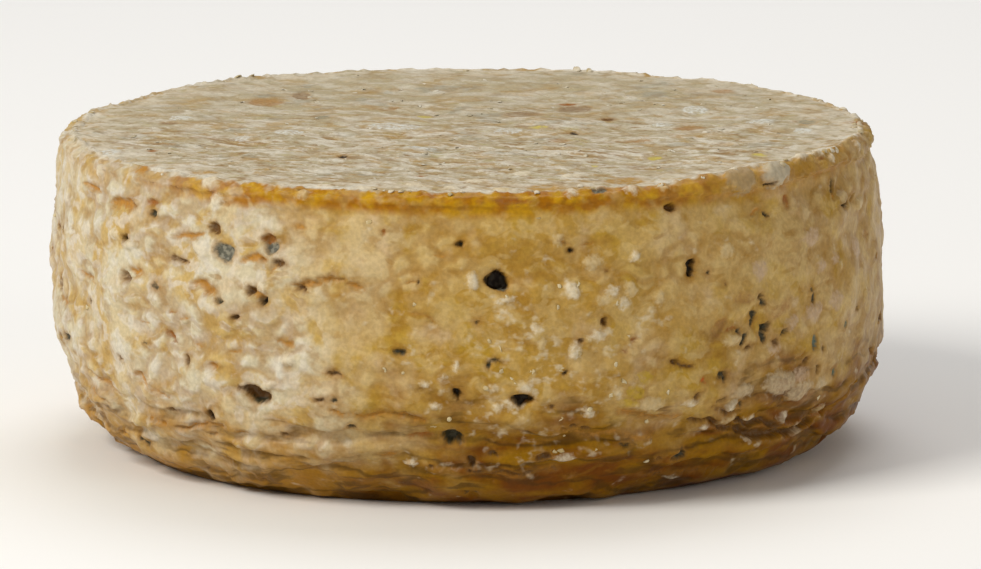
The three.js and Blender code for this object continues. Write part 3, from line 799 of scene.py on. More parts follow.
# %% [markdown]
# The measures that both the relief and the colours need are stored on the points: where
# the skin lay before any relief, how far a point is above the lip's hem, and how far it
# is from the nearest eye and lump, with that one's colour.

# %% Store the measures on the points
RIM_INSET = 3.4 * MM  # how far the rim lies inside the belly
CRUST_OFFSET = -0.1
# (strength, azimuth in degrees, half width, power) of bells round the wheel
CRUST_BELLS = ((3.0, 56, 36, 4), (0.8, MELT_AZIMUTH, 60, 6), (1.4, -28, 12, 4), (2.2, 2, 21, 4))
BAND_BELLS = ((1.0, -4, 45, 6), (0.4, 57, 13, 4))
# (strength, azimuth in degrees, half width, height in mm, half height)
GRANULE_CROWDS = ((1.0, 9, 17, 34, 17), (0.4, 16, 22, 14, 4), (0.45, 53, 14, 22, 4.5))


def bells(azimuth, rows):
    """The sum of several bells round the wheel."""
    return sum(strength * bell(azimuth, *place) for strength, *place in rows)


def crust_start(azimuth):
    """How far above the hem the dry crust begins: at the rim, and at the right inside it."""
    hem_there = np.interp(azimuth, azimuths, hem, period=2 * math.pi)
    return HEIGHT - hem_there + (CRUST_OFFSET + bells(azimuth, CRUST_BELLS)) * MM


def band_share(azimuth):
    """How strong the yellow band under the crust is: only the front has it all along."""
    back = 0.5 * np.clip(np.sin(azimuth * 5 + 1), 0, 1) * (np.abs(azimuth) > 1.8)
    return bells(azimuth, BAND_BELLS) + back


def granule_share(azimuth, height):
    """Where white granules of dry curd are dense: the middle, and above the ledge."""
    degrees, height = np.degrees(azimuth), height / MM
    total = 0.0
    for strength, middle, width, level, tall in GRANULE_CROWDS:
        away = ((degrees - middle) / width) ** 2 + ((height - level) / tall) ** 2
        total += strength * np.exp(-away)
    return np.clip(total, 0, 1)


def store(mesh, name, kind, values):
    """Stores one value a point on the mesh."""
    field = {"FLOAT": "value", "FLOAT_VECTOR": "vector", "FLOAT_COLOR": "color"}[kind]
    layer = mesh.attributes.new(name, kind, "POINT")
    layer.data.foreach_set(field, np.asarray(values, np.float32).ravel())


def upper_share(points, mark):
    """0 at the lower rim of a mark, 1 at its upper rim."""
    aside = (points - mark["middle"]) @ mark["short"] / mark["half"][1]
    return np.clip(0.5 + 0.5 * aside, 0, 1)


def pressed_depth(points, marks):
    """How deep the marks press in, or stand out, at each point, in metres.

    A shallow crack is steep under its upper rim and runs out below."""
    depth = np.zeros(len(points))
    for mark in marks:
        near = near_points(points, mark, 2 * MM)
        distance = mark_distance(points[near], mark)
        wall = 0.25 * mark["half"][1] + 0.25 * MM
        press = mark["depth"] * MM * step_up(-distance, -0.25 * MM, wall)
        if mark["kind"] in OPEN_KINDS and "ends" not in mark:
            press *= 0.25 + 0.75 * upper_share(points[near], mark)
        depth[near] = np.maximum(depth[near], press)
    return depth


def cover_of(points, marks, index):
    """How strongly the colour of its nearest eye covers each point, most under an open crack's
    upper rim, as painted shade.
    """
    cover = np.ones(len(points))
    for number, mark in enumerate(marks):
        # painted shade: an open crack's colour is strongest under its upper rim, where its overhang
        # shades it
        if mark["kind"] in OPEN_KINDS and "ends" not in mark:
            own = np.flatnonzero(index == number)
            share = upper_share(points[own], mark)
            cover[own] = 0.15 + 0.85 * step_up(share, 0.05, 0.75)
        if mark["kind"] in FAINT_KINDS:
            cover[index == number] = 0.7
    return cover


FAR = 30  # in mm, where a measure is as good as endless
WIDE_WAVES = (3.4 * MM, 0.75 * MM)  # size and reach of what makes the marks' rims ragged
FINE_WAVES = (1.4 * MM, 0.35 * MM)
points = mesh_points(rind_mesh)
ragged = wandering(wandering(points, *WIDE_WAVES), *FINE_WAVES)
around = np.arctan2(points[:, 0], -points[:, 1])
hem_here = np.interp(around, azimuths, hem, period=2 * math.pi)
radius_here = np.hypot(points[:, 0], points[:, 1])
above_hem = np.where(points[:, 2] > HEIGHT / 2, points[:, 2] - hem_here, -FAR * MM)
above_hem += np.maximum(BELLY - RIM_INSET - radius_here, 0) * (points[:, 2] > HEIGHT - 2 * MM)
for name, marks, colours in (("eye", eyes, EYE_COLOURS), ("lump", lumps, LUMP_COLOURS)):
    rim, index = nearest_rim(ragged, marks)
    paints = np.array([hex_colour(colours[mark["kind"]]) for mark in marks])
    paints[:, 3] = [DUST_SHARE[mark["kind"]] for mark in marks]
    store(rind_mesh, name + "_rim", "FLOAT", np.clip(rim / MM, -4, 4))
    store(rind_mesh, name + "_colour", "FLOAT_COLOR", paints[index])
    store(rind_mesh, name + "_depth", "FLOAT", pressed_depth(ragged, marks) / MM)
    if name == "eye":
        store(rind_mesh, "eye_cover", "FLOAT", cover_of(ragged, marks, index))
store(rind_mesh, "skin_place", "FLOAT_VECTOR", points / MM)
store(rind_mesh, "above_hem", "FLOAT", np.clip(above_hem / MM, -FAR, FAR))
store(rind_mesh, "band_share", "FLOAT", band_share(around))
store(rind_mesh, "granule_share", "FLOAT", granule_share(around, points[:, 2]))
crust_rise = (above_hem - crust_start(around)) / MM
store(rind_mesh, "crust_rise", "FLOAT", np.clip(crust_rise, -FAR, FAR))
print("stored", [a.name for a in rind_mesh.attributes if not a.name.startswith(".")])

# %% [markdown]
# The side of the wheel is pressed curd: domes of 3 to 8 mm that meet in crevices, softer
# pale grains on them, and short flat slits, because the press squeezed everything down.
# The foot was pressed into flat folds. Voronoi and noise textures give such cells. One
# function adds the same nodes to the relief's tree and to the material, so each crevice is
# dark exactly where the skin sinks. Places are in millimetres, so a pattern's size is its
# real size. Three builders come first, for what every pattern needs several nodes for.

# %% Builders for factors, bent places and noises
def mask(tree, *parts):
    """A factor: the product of its parts.

    A part is a number, a socket, or a smooth rise: (value, start, end) goes from 0 to 1,
    and (value, start, end, low, high) from low to high."""
    total = None
    for part in parts:
        if isinstance(part, tuple):
            value, start, end, low, high = (*part, 0.0, 1.0)[:5]
            part = add_node(
                tree,
                "ShaderNodeMapRange",
                {"Value": value, "From Min": start, "From Max": end, "To Min": low, "To Max": high},
                interpolation_type="SMOOTHSTEP",
            )
        if total is not None:
            part = add_node(tree, "ShaderNodeMath", {0: total, 1: part}, operation="MULTIPLY")
        total = part
    return total


def moved_place(tree, place, size, reach):
    """The place, shifted by smooth noise of one size so that no line stays straight."""
    bend = add_node(tree, "ShaderNodeTexNoise", {"Vector": place, "Scale": 1 / size, "Detail": 2.0})
    centred = add_node(
        tree,
        "ShaderNodeVectorMath",
        {0: bend.outputs["Color"], 1: (0.5,) * 3},
        operation="SUBTRACT",
    )
    return add_node(
        tree,
        "ShaderNodeVectorMath",
        {0: centred, 1: (reach,) * 3, 2: place},
        operation="MULTIPLY_ADD",
    )


def three_noises(tree, place, size, detail=2.0, stretch=None):
    """Three independent noises of one size, as the X, Y and Z of a vector."""
    if stretch:
        place = add_node(tree, "ShaderNodeVectorMath", {0: place, 1: stretch}, operation="MULTIPLY")
    texture = add_node(
        tree, "ShaderNodeTexNoise", {"Vector": place, "Scale": 1 / size, "Detail": detail}
    )
    return add_node(tree, "ShaderNodeSeparateXYZ", {"Vector": texture.outputs["Color"]}).outputs


print("a mask multiplies its parts, and a rise is smooth")

# %% The pattern of the curds
CURD_SIZE = 6.4
GRAIN_SIZE = 4.4
CURD_ZONES = 15.0  # how wide the patches are in which one kind is strong
SQUASH = (1.0, 1.0, 1.45)  # a curd is lower than wide
SLIT_SIZE = (9.0, 9.0, 3.2)
CURD_BEND = (7.5, 8.0)  # size and reach of the noise that bends the curds


def curd_pattern(tree, place):
    """Domes, grains and slits at a place in millimetres, each from 0 to 1, and their share."""
    bent = moved_place(tree, place, *CURD_BEND)
    squashed = add_node(tree, "ShaderNodeVectorMath", {0: bent, 1: SQUASH}, operation="MULTIPLY")
    curd = add_node(
        tree,
        "ShaderNodeTexVoronoi",
        {"Vector": squashed, "Scale": 1 / CURD_SIZE},
        feature="DISTANCE_TO_EDGE",
    )
    block = add_node(
        tree,
        "ShaderNodeTexVoronoi",
        {"Vector": squashed, "Scale": 1 / CURD_SIZE, "Smoothness": 0.35},
        feature="SMOOTH_F1",
    )
    tint = add_node(tree, "ShaderNodeSeparateXYZ", {"Vector": block.outputs["Color"]})
    grain = add_node(
        tree, "ShaderNodeTexNoise", {"Vector": squashed, "Scale": 1 / GRAIN_SIZE, "Detail": 3.0}
    )
    flat = add_node(tree, "ShaderNodeVectorMath", {0: bent, 1: SLIT_SIZE}, operation="DIVIDE")
    slit = add_node(tree, "ShaderNodeTexVoronoi", {"Vector": flat, "Scale": 1.0}, feature="F1")
    zones = three_noises(tree, place, CURD_ZONES)
    return {
        "curd": mask(tree, (curd, 0.0, 0.4)),
        "grain": mask(tree, (grain, 0.38, 0.66)),
        "tint": tint.outputs["X"],
        "slit": mask(tree, (slit.outputs["Distance"], 0.13, 0.28)),
        "curd_share": mask(tree, (zones["X"], 0.4, 0.62)),
        "grain_share": mask(tree, (zones["Y"], 0.4, 0.6)),
        "slit_share": mask(tree, (zones["Z"], 0.46, 0.58)),
    }


# %% The pattern of the foot's folds
FOLD_SIZE = (24.0, 24.0, 4.2)
FOLD_BEND = (12.0, 5.0)


def fold_pattern(tree, place):
    """The foot's folds, as terraces from 0 to 1, and the lines between them where shade is painted.
    """
    bent = moved_place(tree, place, *FOLD_BEND)
    flat = add_node(tree, "ShaderNodeVectorMath", {0: bent, 1: FOLD_SIZE}, operation="DIVIDE")
    layers = add_node(tree, "ShaderNodeTexNoise", {"Vector": flat, "Scale": 1.0, "Detail": 3.0})
    edge = mask(tree, (layers, 0.4, 0.46), (layers, 0.53, 0.47))
    return mask(tree, (layers, 0.42, 0.56)), edge


# %% The pattern of the top crust
RIDGE_TURN = math.radians(32)  # the mesh's lines run to the right and forwards
FLAKE_SIZE = (4.4, 3.2, 2.5)
FLAKE_BEND = (6.0, 4.5)
PATCH_SCALE = 1.6  # a patch of another colour, in flakes
LINE_SIZE = (11.0, 2.0, 10 / 3)
LINE_BEND = (16.0, 5.0)
LINE_ZONES = 17.0  # how wide the areas are where the lines show
MESH_PRINT = 1.4  # the weave of the mould's mesh


def crust_pattern(tree, place):
    """Flakes and ridges of the top crust, which all lie in one slanting direction."""
    turned = add_node(
        tree,
        "ShaderNodeVectorRotate",
        {"Vector": place, "Angle": RIDGE_TURN},
        rotation_type="Z_AXIS",
    )
    bent = moved_place(tree, turned, *FLAKE_BEND)
    drawn = add_node(tree, "ShaderNodeVectorMath", {0: bent, 1: FLAKE_SIZE}, operation="DIVIDE")
    plates = add_node(tree, "ShaderNodeTexVoronoi", {"Vector": drawn, "Scale": 1.0}, feature="F1")
    level = add_node(tree, "ShaderNodeSeparateXYZ", {"Vector": plates.outputs["Color"]})
    streaks = add_node(
        tree,
        "ShaderNodeTexNoise",
        {"Vector": drawn, "Scale": 1.5, "Detail": 4.0, "Roughness": 0.62},
    )
    bent = moved_place(tree, turned, *LINE_BEND)
    long = add_node(tree, "ShaderNodeVectorMath", {0: bent, 1: LINE_SIZE}, operation="DIVIDE")
    lines = add_node(tree, "ShaderNodeTexNoise", {"Vector": long, "Scale": 1.0, "Detail": 3.0})
    where = add_node(tree, "ShaderNodeSeparateXYZ", {"Vector": place})
    front = mask(tree, (where.outputs["Y"], 55, -25, 0.4, 1.0))  # the back is worn smooth
    zones = add_node(
        tree, "ShaderNodeTexNoise", {"Vector": place, "Scale": 1 / LINE_ZONES, "Detail": 2.0}
    )
    lined = mask(tree, front, (zones, 0.42, 0.56, 0.3, 1.0))
    return {
        "level": level.outputs["X"],
        "edge": mask(tree, (plates.outputs["Distance"], 0.8, 0.3)),
        "streak": add_node(tree, "ShaderNodeMix", {"Factor": front, "A": 0.5, "B": streaks}),
        "line": add_node(tree, "ShaderNodeMix", {"Factor": lined, "A": 0.5, "B": lines}),
        "patch": three_noises(tree, drawn, PATCH_SCALE, 4.0),
        "front": front,
    }


print(f"curds {CURD_SIZE} mm, grains {GRAIN_SIZE} mm, flakes {FLAKE_SIZE[0]} mm")

# %% [markdown]
# The relief is a Geometry Nodes tree on the skin. It moves every point along its normal:
# domes, grains and slits on the side, flakes and ridges on the crust, and the eyes and
# lumps everywhere. Its named inputs are the heights in millimetres, so that each kind of
# relief can be turned up or down on its own. The flat foot is left out.

# %% The relief's heights
RELIEF = {
    "Curd Height": 0.75,
    "Grain Height": 0.22,
    "Pillow Height": 2.2,
    "Slit Depth": 0.25,
    "Fold Height": 1.3,
    "Flake Height": 0.35,
    "Ridge Height": 0.7,
    "Line Height": 1.0,
    "Crumb Height": 0.6,
}
PILLOW_SIZE = 13.0  # wide swellings of the side
PILLOW_FORM = (1, 1, 1.3)
CRUMB_SIZE = 2.1  # crumbs at the rim of the crust
FLOOR_LINE = 0.02  # below this height in mm a point belongs to the flat foot
STORED = {
    "skin_place": "FLOAT_VECTOR",
    "above_hem": "FLOAT",
    "eye_depth": "FLOAT",
    "lump_depth": "FLOAT",
    "eye_rim": "FLOAT",
    "lump_rim": "FLOAT",
}
print("relief inputs:", RELIEF)

# %% How the side and the crust rise and sink


def side_terms(tree, place):
    """(pattern about zero, name of its height) of every kind of relief on the side."""
    where = add_node(tree, "ShaderNodeSeparateXYZ", {"Vector": place}).outputs
    curd = curd_pattern(tree, place)
    lively = mask(tree, (where["X"], -48.0, -8.0, 1.0, 0.55))  # the left is the lumpiest
    terms = []
    for kind, size, least in (
        ("curd", "Curd Height", 0.3),
        ("grain", "Grain Height", 0.4),
        ("slit", "Slit Depth", 0.0),
    ):
        strength = add_node(
            tree, "ShaderNodeMapRange", {"Value": curd[kind + "_share"], "To Min": least}
        )
        sunk = add_node(tree, "ShaderNodeMath", {0: curd[kind], 1: 0.8}, operation="SUBTRACT")
        terms.append((mask(tree, sunk, strength, lively), size))
    pillows = three_noises(tree, place, PILLOW_SIZE, stretch=PILLOW_FORM)
    pillow = add_node(tree, "ShaderNodeMath", {0: pillows["X"], 1: 0.5}, operation="SUBTRACT")
    folds = add_node(
        tree, "ShaderNodeMath", {0: fold_pattern(tree, place)[0], 1: 0.6}, operation="SUBTRACT"
    )
    folds = mask(tree, folds, (where["Z"], 30.0, 15.0, 0.1, 1.0))
    return [*terms, (pillow, "Pillow Height"), (folds, "Fold Height")]


def crust_terms(tree, place, above_hem):
    """(pattern about zero, name of its height) of every kind of relief on the crust."""
    crust = crust_pattern(tree, place)
    on_top = mask(tree, (above_hem, 3.5, 7.0, 0.3, 1.0))
    terms = []
    for kind, share, size in (
        ("level", crust["edge"], "Flake Height"),
        ("streak", on_top, "Ridge Height"),
        ("line", on_top, "Line Height"),
    ):
        centred = add_node(tree, "ShaderNodeMath", {0: crust[kind], 1: 0.5}, operation="SUBTRACT")
        terms.append((mask(tree, centred, share), size))
    cells = add_node(
        tree,
        "ShaderNodeTexVoronoi",
        {"Vector": place, "Scale": 1 / CRUMB_SIZE},
        feature="DISTANCE_TO_EDGE",
    )
    crumbs = mask(tree, (cells, 0.0, 0.4, -0.5, 0.5), (above_hem, 9.0, 5.0))
    return [*terms, (crumbs, "Crumb Height")]


# %% The relief's tree


def open_tree(name, inputs):
    """A new Geometry Nodes tree with named number inputs, and the sockets it is given."""
    tree = bpy.data.node_groups.new(name, "GeometryNodeTree")
    tree.interface.new_socket("Geometry", in_out="INPUT", socket_type="NodeSocketGeometry")
    for number in inputs:
        tree.interface.new_socket(number, in_out="INPUT", socket_type="NodeSocketFloat")
    tree.interface.new_socket("Geometry", in_out="OUTPUT", socket_type="NodeSocketGeometry")
    return tree, add_node(tree, "NodeGroupInput").outputs


def close_tree(tree, geometry, material):
    """Ends a tree: real geometry, shaded smooth, with its material."""
    whole = add_node(tree, "GeometryNodeRealizeInstances", {"Geometry": geometry})
    smooth = add_node(tree, "GeometryNodeSetShadeSmooth", {"Geometry": whole})
    painted = add_node(tree, "GeometryNodeSetMaterial", {"Geometry": smooth, "Material": material})
    add_node(tree, "NodeGroupOutput", {"Geometry": painted})


def relief_tree(material):
    """The tree that gives the skin its relief and its material."""
    tree, given = open_tree("rind relief", RELIEF)
    fields = {}
    for name, kind in STORED.items():
        node = add_node(tree, "GeometryNodeInputNamedAttribute", {"Name": name}, data_type=kind)
        fields[name] = node.outputs["Attribute"]
    place = fields["skin_place"]
    sums = []
    for terms in (side_terms(tree, place), crust_terms(tree, place, fields["above_hem"])):
        total = 0.0
        for term, size in terms:
            total = add_node(
                tree,
                "ShaderNodeMath",
                {0: term, 1: given[size], 2: total},
                operation="MULTIPLY_ADD",
            )
        sums.append(total)
    on_crust = mask(tree, (fields["above_hem"], -0.3, 0.4))
    total = add_node(tree, "ShaderNodeMix", {"Factor": on_crust, "A": sums[0], "B": sums[1]})
    calm_eye = (fields["eye_rim"], -0.5, 0.8, 0.15, 1.0)
    calm_lump = (fields["lump_rim"], -0.8, 0.4, 0.4, 1.0)
    total = mask(tree, total, calm_eye, calm_lump)
    total = add_node(
        tree, "ShaderNodeMath", {0: total, 1: fields["eye_depth"]}, operation="SUBTRACT"
    )
    total = add_node(tree, "ShaderNodeMath", {0: total, 1: fields["lump_depth"]}, operation="ADD")
    push = add_node(
        tree,
        "ShaderNodeVectorMath",
        {"Vector": add_node(tree, "GeometryNodeInputNormal"), "Scale": mask(tree, total, MM)},
        operation="SCALE",
    )
    height = add_node(tree, "ShaderNodeSeparateXYZ", {"Vector": place}).outputs["Z"]
    off_foot = add_node(
        tree, "FunctionNodeCompare", {0: height, 1: FLOOR_LINE}, operation="GREATER_THAN"
    )
    moved = add_node(
        tree,
        "GeometryNodeSetPosition",
        {"Geometry": given["Geometry"], "Selection": off_foot, "Offset": push},
    )
    close_tree(tree, moved, material)
    return tree


def grown_mesh(mesh, tree, values, name):
    """The plain mesh that a Geometry Nodes tree makes of a mesh, with its inputs set."""
    base = bpy.data.objects.new(name, mesh)
    bpy.context.scene.collection.objects.link(base)
    modifier = base.modifiers.new(tree.name, "NODES")
    modifier.node_group = tree
    for socket in tree.interface.items_tree:
        if socket.in_out == "INPUT" and socket.name in values:
            modifier[socket.identifier] = values[socket.name]
    result = bpy.data.meshes.new_from_object(
        base.evaluated_get(bpy.context.evaluated_depsgraph_get())
    )
    bpy.data.objects.remove(base)
    result.name = name
    return result


print(len(STORED), "stored measures feed the relief")

# %% [markdown]
# The rind is one material, because on a real wheel the zones melt into each other: cream
# and pink on the left, amber in the middle, beige on the right with painted shade at its
# edge, dark amber at the foot, which is partly painted shade of the underside and has
# painted light on its left, and the matte crust on top. The side is moist, so it has a
# soft gloss; the dry crust has none. Colours first, from the wide zones to the small marks.

# %% Paint one colour over another
def paint(tree, colour, hue, *parts):
    """The colour, with another laid over it as strongly as the mask of the parts says."""
    return add_node(
        tree,
        "ShaderNodeMix",
        {"Factor": mask(tree, *parts), "A": colour, "B": hue},
        data_type="RGBA",
    )


# %% The colours of the side
SIDE_CREAM = hex_colour("c6bb9e")
SIDE_AMBER = hex_colour("ac873c")
SIDE_BEIGE = hex_colour("b5955c")
# painted shade for the right edge of the side
SIDE_PAINTED_SHADE = hex_colour("8c6d44")
SIDE_PINK = hex_colour("c8b08c")
SIDE_YELLOW = hex_colour("ac8826")
SIDE_HONEY = hex_colour("b8933e")
# the foot's brown: partly the rind's own browner base, partly painted shade of the underside
FOOT_BROWN_AND_SHADE = hex_colour("6e3c00")
FOOT_LIGHT = hex_colour("8e6400")
# painted light for the left of the foot
FOOT_PAINTED_LIGHT = hex_colour("a8781c")
CREVICE = hex_colour("92671c")
# painted shade in the creases between the foot's folds
FOLD_PAINTED_SHADE = hex_colour("47300c")
PALE_LEFT = hex_colour("d3cdc2")
PALE_GRAIN = hex_colour("c4a971")
WHITE_GRAIN = hex_colour("d3c6aa")
PATCH_SIZE = 11.0  # pink and yellow patches
SPOT_SIZE = 4.5  # brown spots
SMEAR_SIZE = 6.0  # streaks of the foot
SMEAR_FORM = (0.45, 0.45, 1.5)
SPOT_FORM = (1, 1, 1.4)
ZONE_BEND = (22, 55)  # size and reach of what makes the zones melt into each other
# (start and end of a rise across the wheel in mm, then by how much the foot's colour climbs)
FOOT_CLIMB = ((-75, 25, 10, 1), (15, 50, 0, -5), (62, 85, 0, 3))


def side_colour(tree, place, curd):
    """The colour of the side, from its wide zones down to its grains and crevices."""
    wide = moved_place(tree, place, *ZONE_BEND)
    where = add_node(tree, "ShaderNodeSeparateXYZ", {"Vector": wide}).outputs
    colour = paint(tree, SIDE_AMBER, SIDE_CREAM, (where["X"], -3, -52))
    colour = paint(tree, colour, SIDE_BEIGE, (where["X"], 30, 70))
    # painted shade: the side darkens towards its right edge
    colour = paint(tree, colour, SIDE_PAINTED_SHADE, (where["X"], 66, 98, 0.0, 0.55))
    patch = three_noises(tree, place, PATCH_SIZE, 4.0)
    colour = paint(tree, colour, SIDE_PINK, (patch["X"], 0.5, 0.66, 0.0, 0.6))
    left = mask(tree, (where["X"], -16, -54))
    golden = paint(tree, SIDE_YELLOW, SIDE_HONEY, left)
    colour = paint(tree, colour, golden, (patch["Y"], 0.5, 0.62, 0.0, 0.75))
    spots = three_noises(tree, place, SPOT_SIZE, 3.0, stretch=SPOT_FORM)
    colour = paint(tree, colour, CREVICE, (spots["X"], 0.5, 0.34, 0.0, 0.42))
    colour = paint(tree, colour, PALE_GRAIN, (curd["tint"], 0.35, 0.75, 0.0, 0.4))
    pale = paint(tree, PALE_GRAIN, PALE_LEFT, left)
    colour = paint(tree, colour, pale, (curd["grain"], 0.3, 1.0, 0.0, 0.5))
    colour = paint(tree, colour, CREVICE, (curd["curd"], 0.8, 0.0), curd["curd_share"], 0.5)
    low = add_node(
        tree, "ShaderNodeMath", {0: spots["Z"], 1: 22.0, 2: where["Z"]}, operation="MULTIPLY_ADD"
    )
    for start, end, least, most in FOOT_CLIMB:
        climb = mask(tree, (where["X"], start, end, least, most))
        low = add_node(tree, "ShaderNodeMath", {0: low, 1: climb}, operation="ADD")
    smears = add_node(tree, "ShaderNodeVectorMath", {0: place, 1: SMEAR_FORM}, operation="MULTIPLY")
    smears = add_node(
        tree, "ShaderNodeTexNoise", {"Vector": smears, "Scale": 1 / SMEAR_SIZE, "Detail": 3.0}
    )
    # the foot's colour is partly its own browner rind and partly painted shade of the underside
    foot = paint(tree, FOOT_BROWN_AND_SHADE, FOOT_LIGHT, (smears, 0.36, 0.66))
    # painted light: the foot is lighter on the left, where the key light falls
    foot = paint(tree, foot, FOOT_PAINTED_LIGHT, (where["X"], -5, -55))
    colour = paint(tree, colour, foot, (low, 45, 21))
    fold_shade_line = fold_pattern(tree, place)[1]
    # painted shade: dark lines in the creases between the folds
    colour = paint(tree, colour, FOLD_PAINTED_SHADE, fold_shade_line, (low, 42, 26), 0.6)
    return paint(tree, colour, CREVICE, (curd["slit"], 1.0, 0.3), curd["slit_share"], 0.35)


print("side colours and", len(FOOT_CLIMB), "tilts of the foot's colour")

# %% The colours of the crust
CRUST_BASE = hex_colour("a99c7e")
CRUST_PALE = hex_colour("d0c9b8")
CRUST_BROWN = hex_colour("866538")
CRUST_GREY = hex_colour("8d8b7e")
CRUST_ORANGE = hex_colour("a5844a")
CRUST_YELLOW = hex_colour("a3955a")
RIM_CREAM = hex_colour("c9bea8")
STAIN_SIZE = 12.0  # wide stains of the top
KNOB_SIZE = 4.0  # blotches of the rim
SCALLOP_SIZE = 4.2  # waves of the crust's edge


def crust_colour(tree, place, crust, grit):
    """The matte greige of the top, with pale flakes, brown gaps and stains."""
    wide = three_noises(tree, place, STAIN_SIZE, 3.0)
    colour = paint(tree, CRUST_BASE, CRUST_ORANGE, (wide["X"], 0.48, 0.66, 0.0, 0.5))
    colour = paint(tree, colour, CRUST_GREY, (wide["Y"], 0.56, 0.68, 0.0, 0.5))
    colour = paint(tree, colour, CRUST_PALE, (wide["Z"], 0.5, 0.64, 0.0, 0.4))
    for axis, start, end, most, hue in (
        ("X", 0.5, 0.64, 0.75, CRUST_PALE),
        ("Y", 0.54, 0.66, 0.65, CRUST_ORANGE),
        ("Z", 0.58, 0.7, 0.5, CRUST_YELLOW),
    ):
        patch = (crust["patch"][axis], start, end, 0.0, most)
        colour = paint(tree, colour, hue, patch, crust["front"])
    colour = paint(tree, colour, CRUST_PALE, (crust["level"], 0.6, 1.0, 0.0, 0.3))
    colour = paint(tree, colour, CRUST_BROWN, (crust["edge"], 0.7, 0.0, 0.0, 0.25))
    for pattern in (crust["streak"], crust["line"]):
        colour = paint(tree, colour, CRUST_PALE, (pattern, 0.53, 0.68, 0.0, 0.65))
        colour = paint(tree, colour, CRUST_BROWN, (pattern, 0.47, 0.32, 0.0, 0.65))
    return paint(tree, colour, CRUST_BROWN, (grit, 0.62, 0.72, 0.0, 0.5))


def rim_colour(tree, top, rise, knobs, scallop):
    """The crust near its edge: moist cream, orange stains and pale crumbs."""
    near_rim = mask(tree, (rise, 7.0, 1.0))
    top = paint(tree, top, RIM_CREAM, (rise, 18.0, 0.0), (knobs["X"], 0.4, 0.6), 0.8)
    top = paint(tree, top, CRUST_ORANGE, (knobs["Y"], 0.55, 0.66), near_rim, 0.75)
    return paint(tree, top, CRUST_PALE, (scallop["Y"], 0.5, 0.62, 0.0, 0.7), near_rim)


print(f"crust stains {STAIN_SIZE} mm, rim blotches {KNOB_SIZE} mm")

# %% The yellow band under the crust, and the marks
BAND_YELLOW = hex_colour("b88a10")
BAND_ORANGE = hex_colour("9a6206")
EYE_HALO = hex_colour("94692a")  # the brown edge of an eye
EYE_DUST = hex_colour("8f8a78")  # grey bloom in the eyes


def banded(tree, side, above_hem, share, knobs):
    """The side with the yellow band and the darker line along the hem, partly painted shade of the
    groove under the lip.
    """
    hue = paint(tree, BAND_ORANGE, BAND_YELLOW, (knobs["Y"], 0.36, 0.66))
    faint = (knobs["Z"], 0.34, 0.52, 0.5, 1.0)
    side = paint(tree, side, hue, (above_hem, -3.0, -0.6), share, faint)
    # partly painted shade: the groove under the lip's overhang, drawn as a darker orange line
    line = mask(tree, (above_hem, -1.1, -0.2), (above_hem, 0.7, -0.1))
    return paint(tree, side, BAND_ORANGE, line, (share, 0.0, 0.4, 0.1, 0.25))


def rough_edge(tree, noise_value, reach, distance):
    """A distance in mm that noise makes uneven, so that an edge drawn with it is ragged."""
    return add_node(
        tree, "ShaderNodeMath", {0: noise_value, 1: reach, 2: distance}, operation="MULTIPLY_ADD"
    )


def marked(tree, colour, fields, grit, streak):
    """The colour with the lumps laid over it, and the eyes with their brown edges."""
    edge = rough_edge(tree, grit["X"], 2.2, fields["lump_rim"]["Fac"])
    broken = add_node(
        tree,
        "ShaderNodeMix",
        {
            "Factor": fields["lump_colour"]["Alpha"],
            "A": 1.0,
            "B": mask(tree, (grit["Y"], 0.38, 0.64)),
        },
    )
    lump = fields["lump_colour"]["Color"]
    colour = paint(tree, colour, lump, (edge, 1.7, 0.4, 0.0, 0.85), broken)
    edge = rough_edge(tree, grit["Y"], 1.4, fields["eye_rim"]["Fac"])
    cover = fields["eye_cover"]["Fac"]
    thin = add_node(tree, "ShaderNodeMath", {0: 1.0, 1: cover}, operation="SUBTRACT")
    loss = mask(tree, thin, (streak, 0.56, 0.42), 2.0)  # a faint stain lies between the ridges
    kept = add_node(
        tree, "ShaderNodeMath", {0: 1.0, 1: loss}, operation="SUBTRACT", use_clamp=True
    )
    cover = mask(tree, cover, kept)
    colour = paint(tree, colour, EYE_HALO, (edge, 2.2, 0.6, 0.0, 0.5), cover)
    eye = fields["eye_colour"]["Color"]
    dusty = paint(tree, eye, EYE_DUST, fields["eye_colour"]["Alpha"])
    mottled = paint(tree, eye, dusty, (grit["X"], 0.4, 0.6))
    return paint(tree, colour, mottled, (edge, 1.0, 0.1), cover)


print("band and marks")

# %% The rind's material
SIDE_ROUGHNESS = 0.4  # a moist, waxy skin
CRUST_ROUGHNESS = 0.85  # dry and crumbly
RIND_IOR = 1.45  # fat and water
GRIT_SIZE = 0.9
GRANULE_SIZE = 2.6  # white grains of dry curd
GRANULE_FORM = (1, 1, 1.4)
FINE_RELIEF = 0.3 * MM
PAINTED = (
    "skin_place", "above_hem", "crust_rise", "band_share", "granule_share",
    "eye_rim", "eye_cover", "eye_colour", "lump_rim", "lump_colour",
)  # fmt: skip


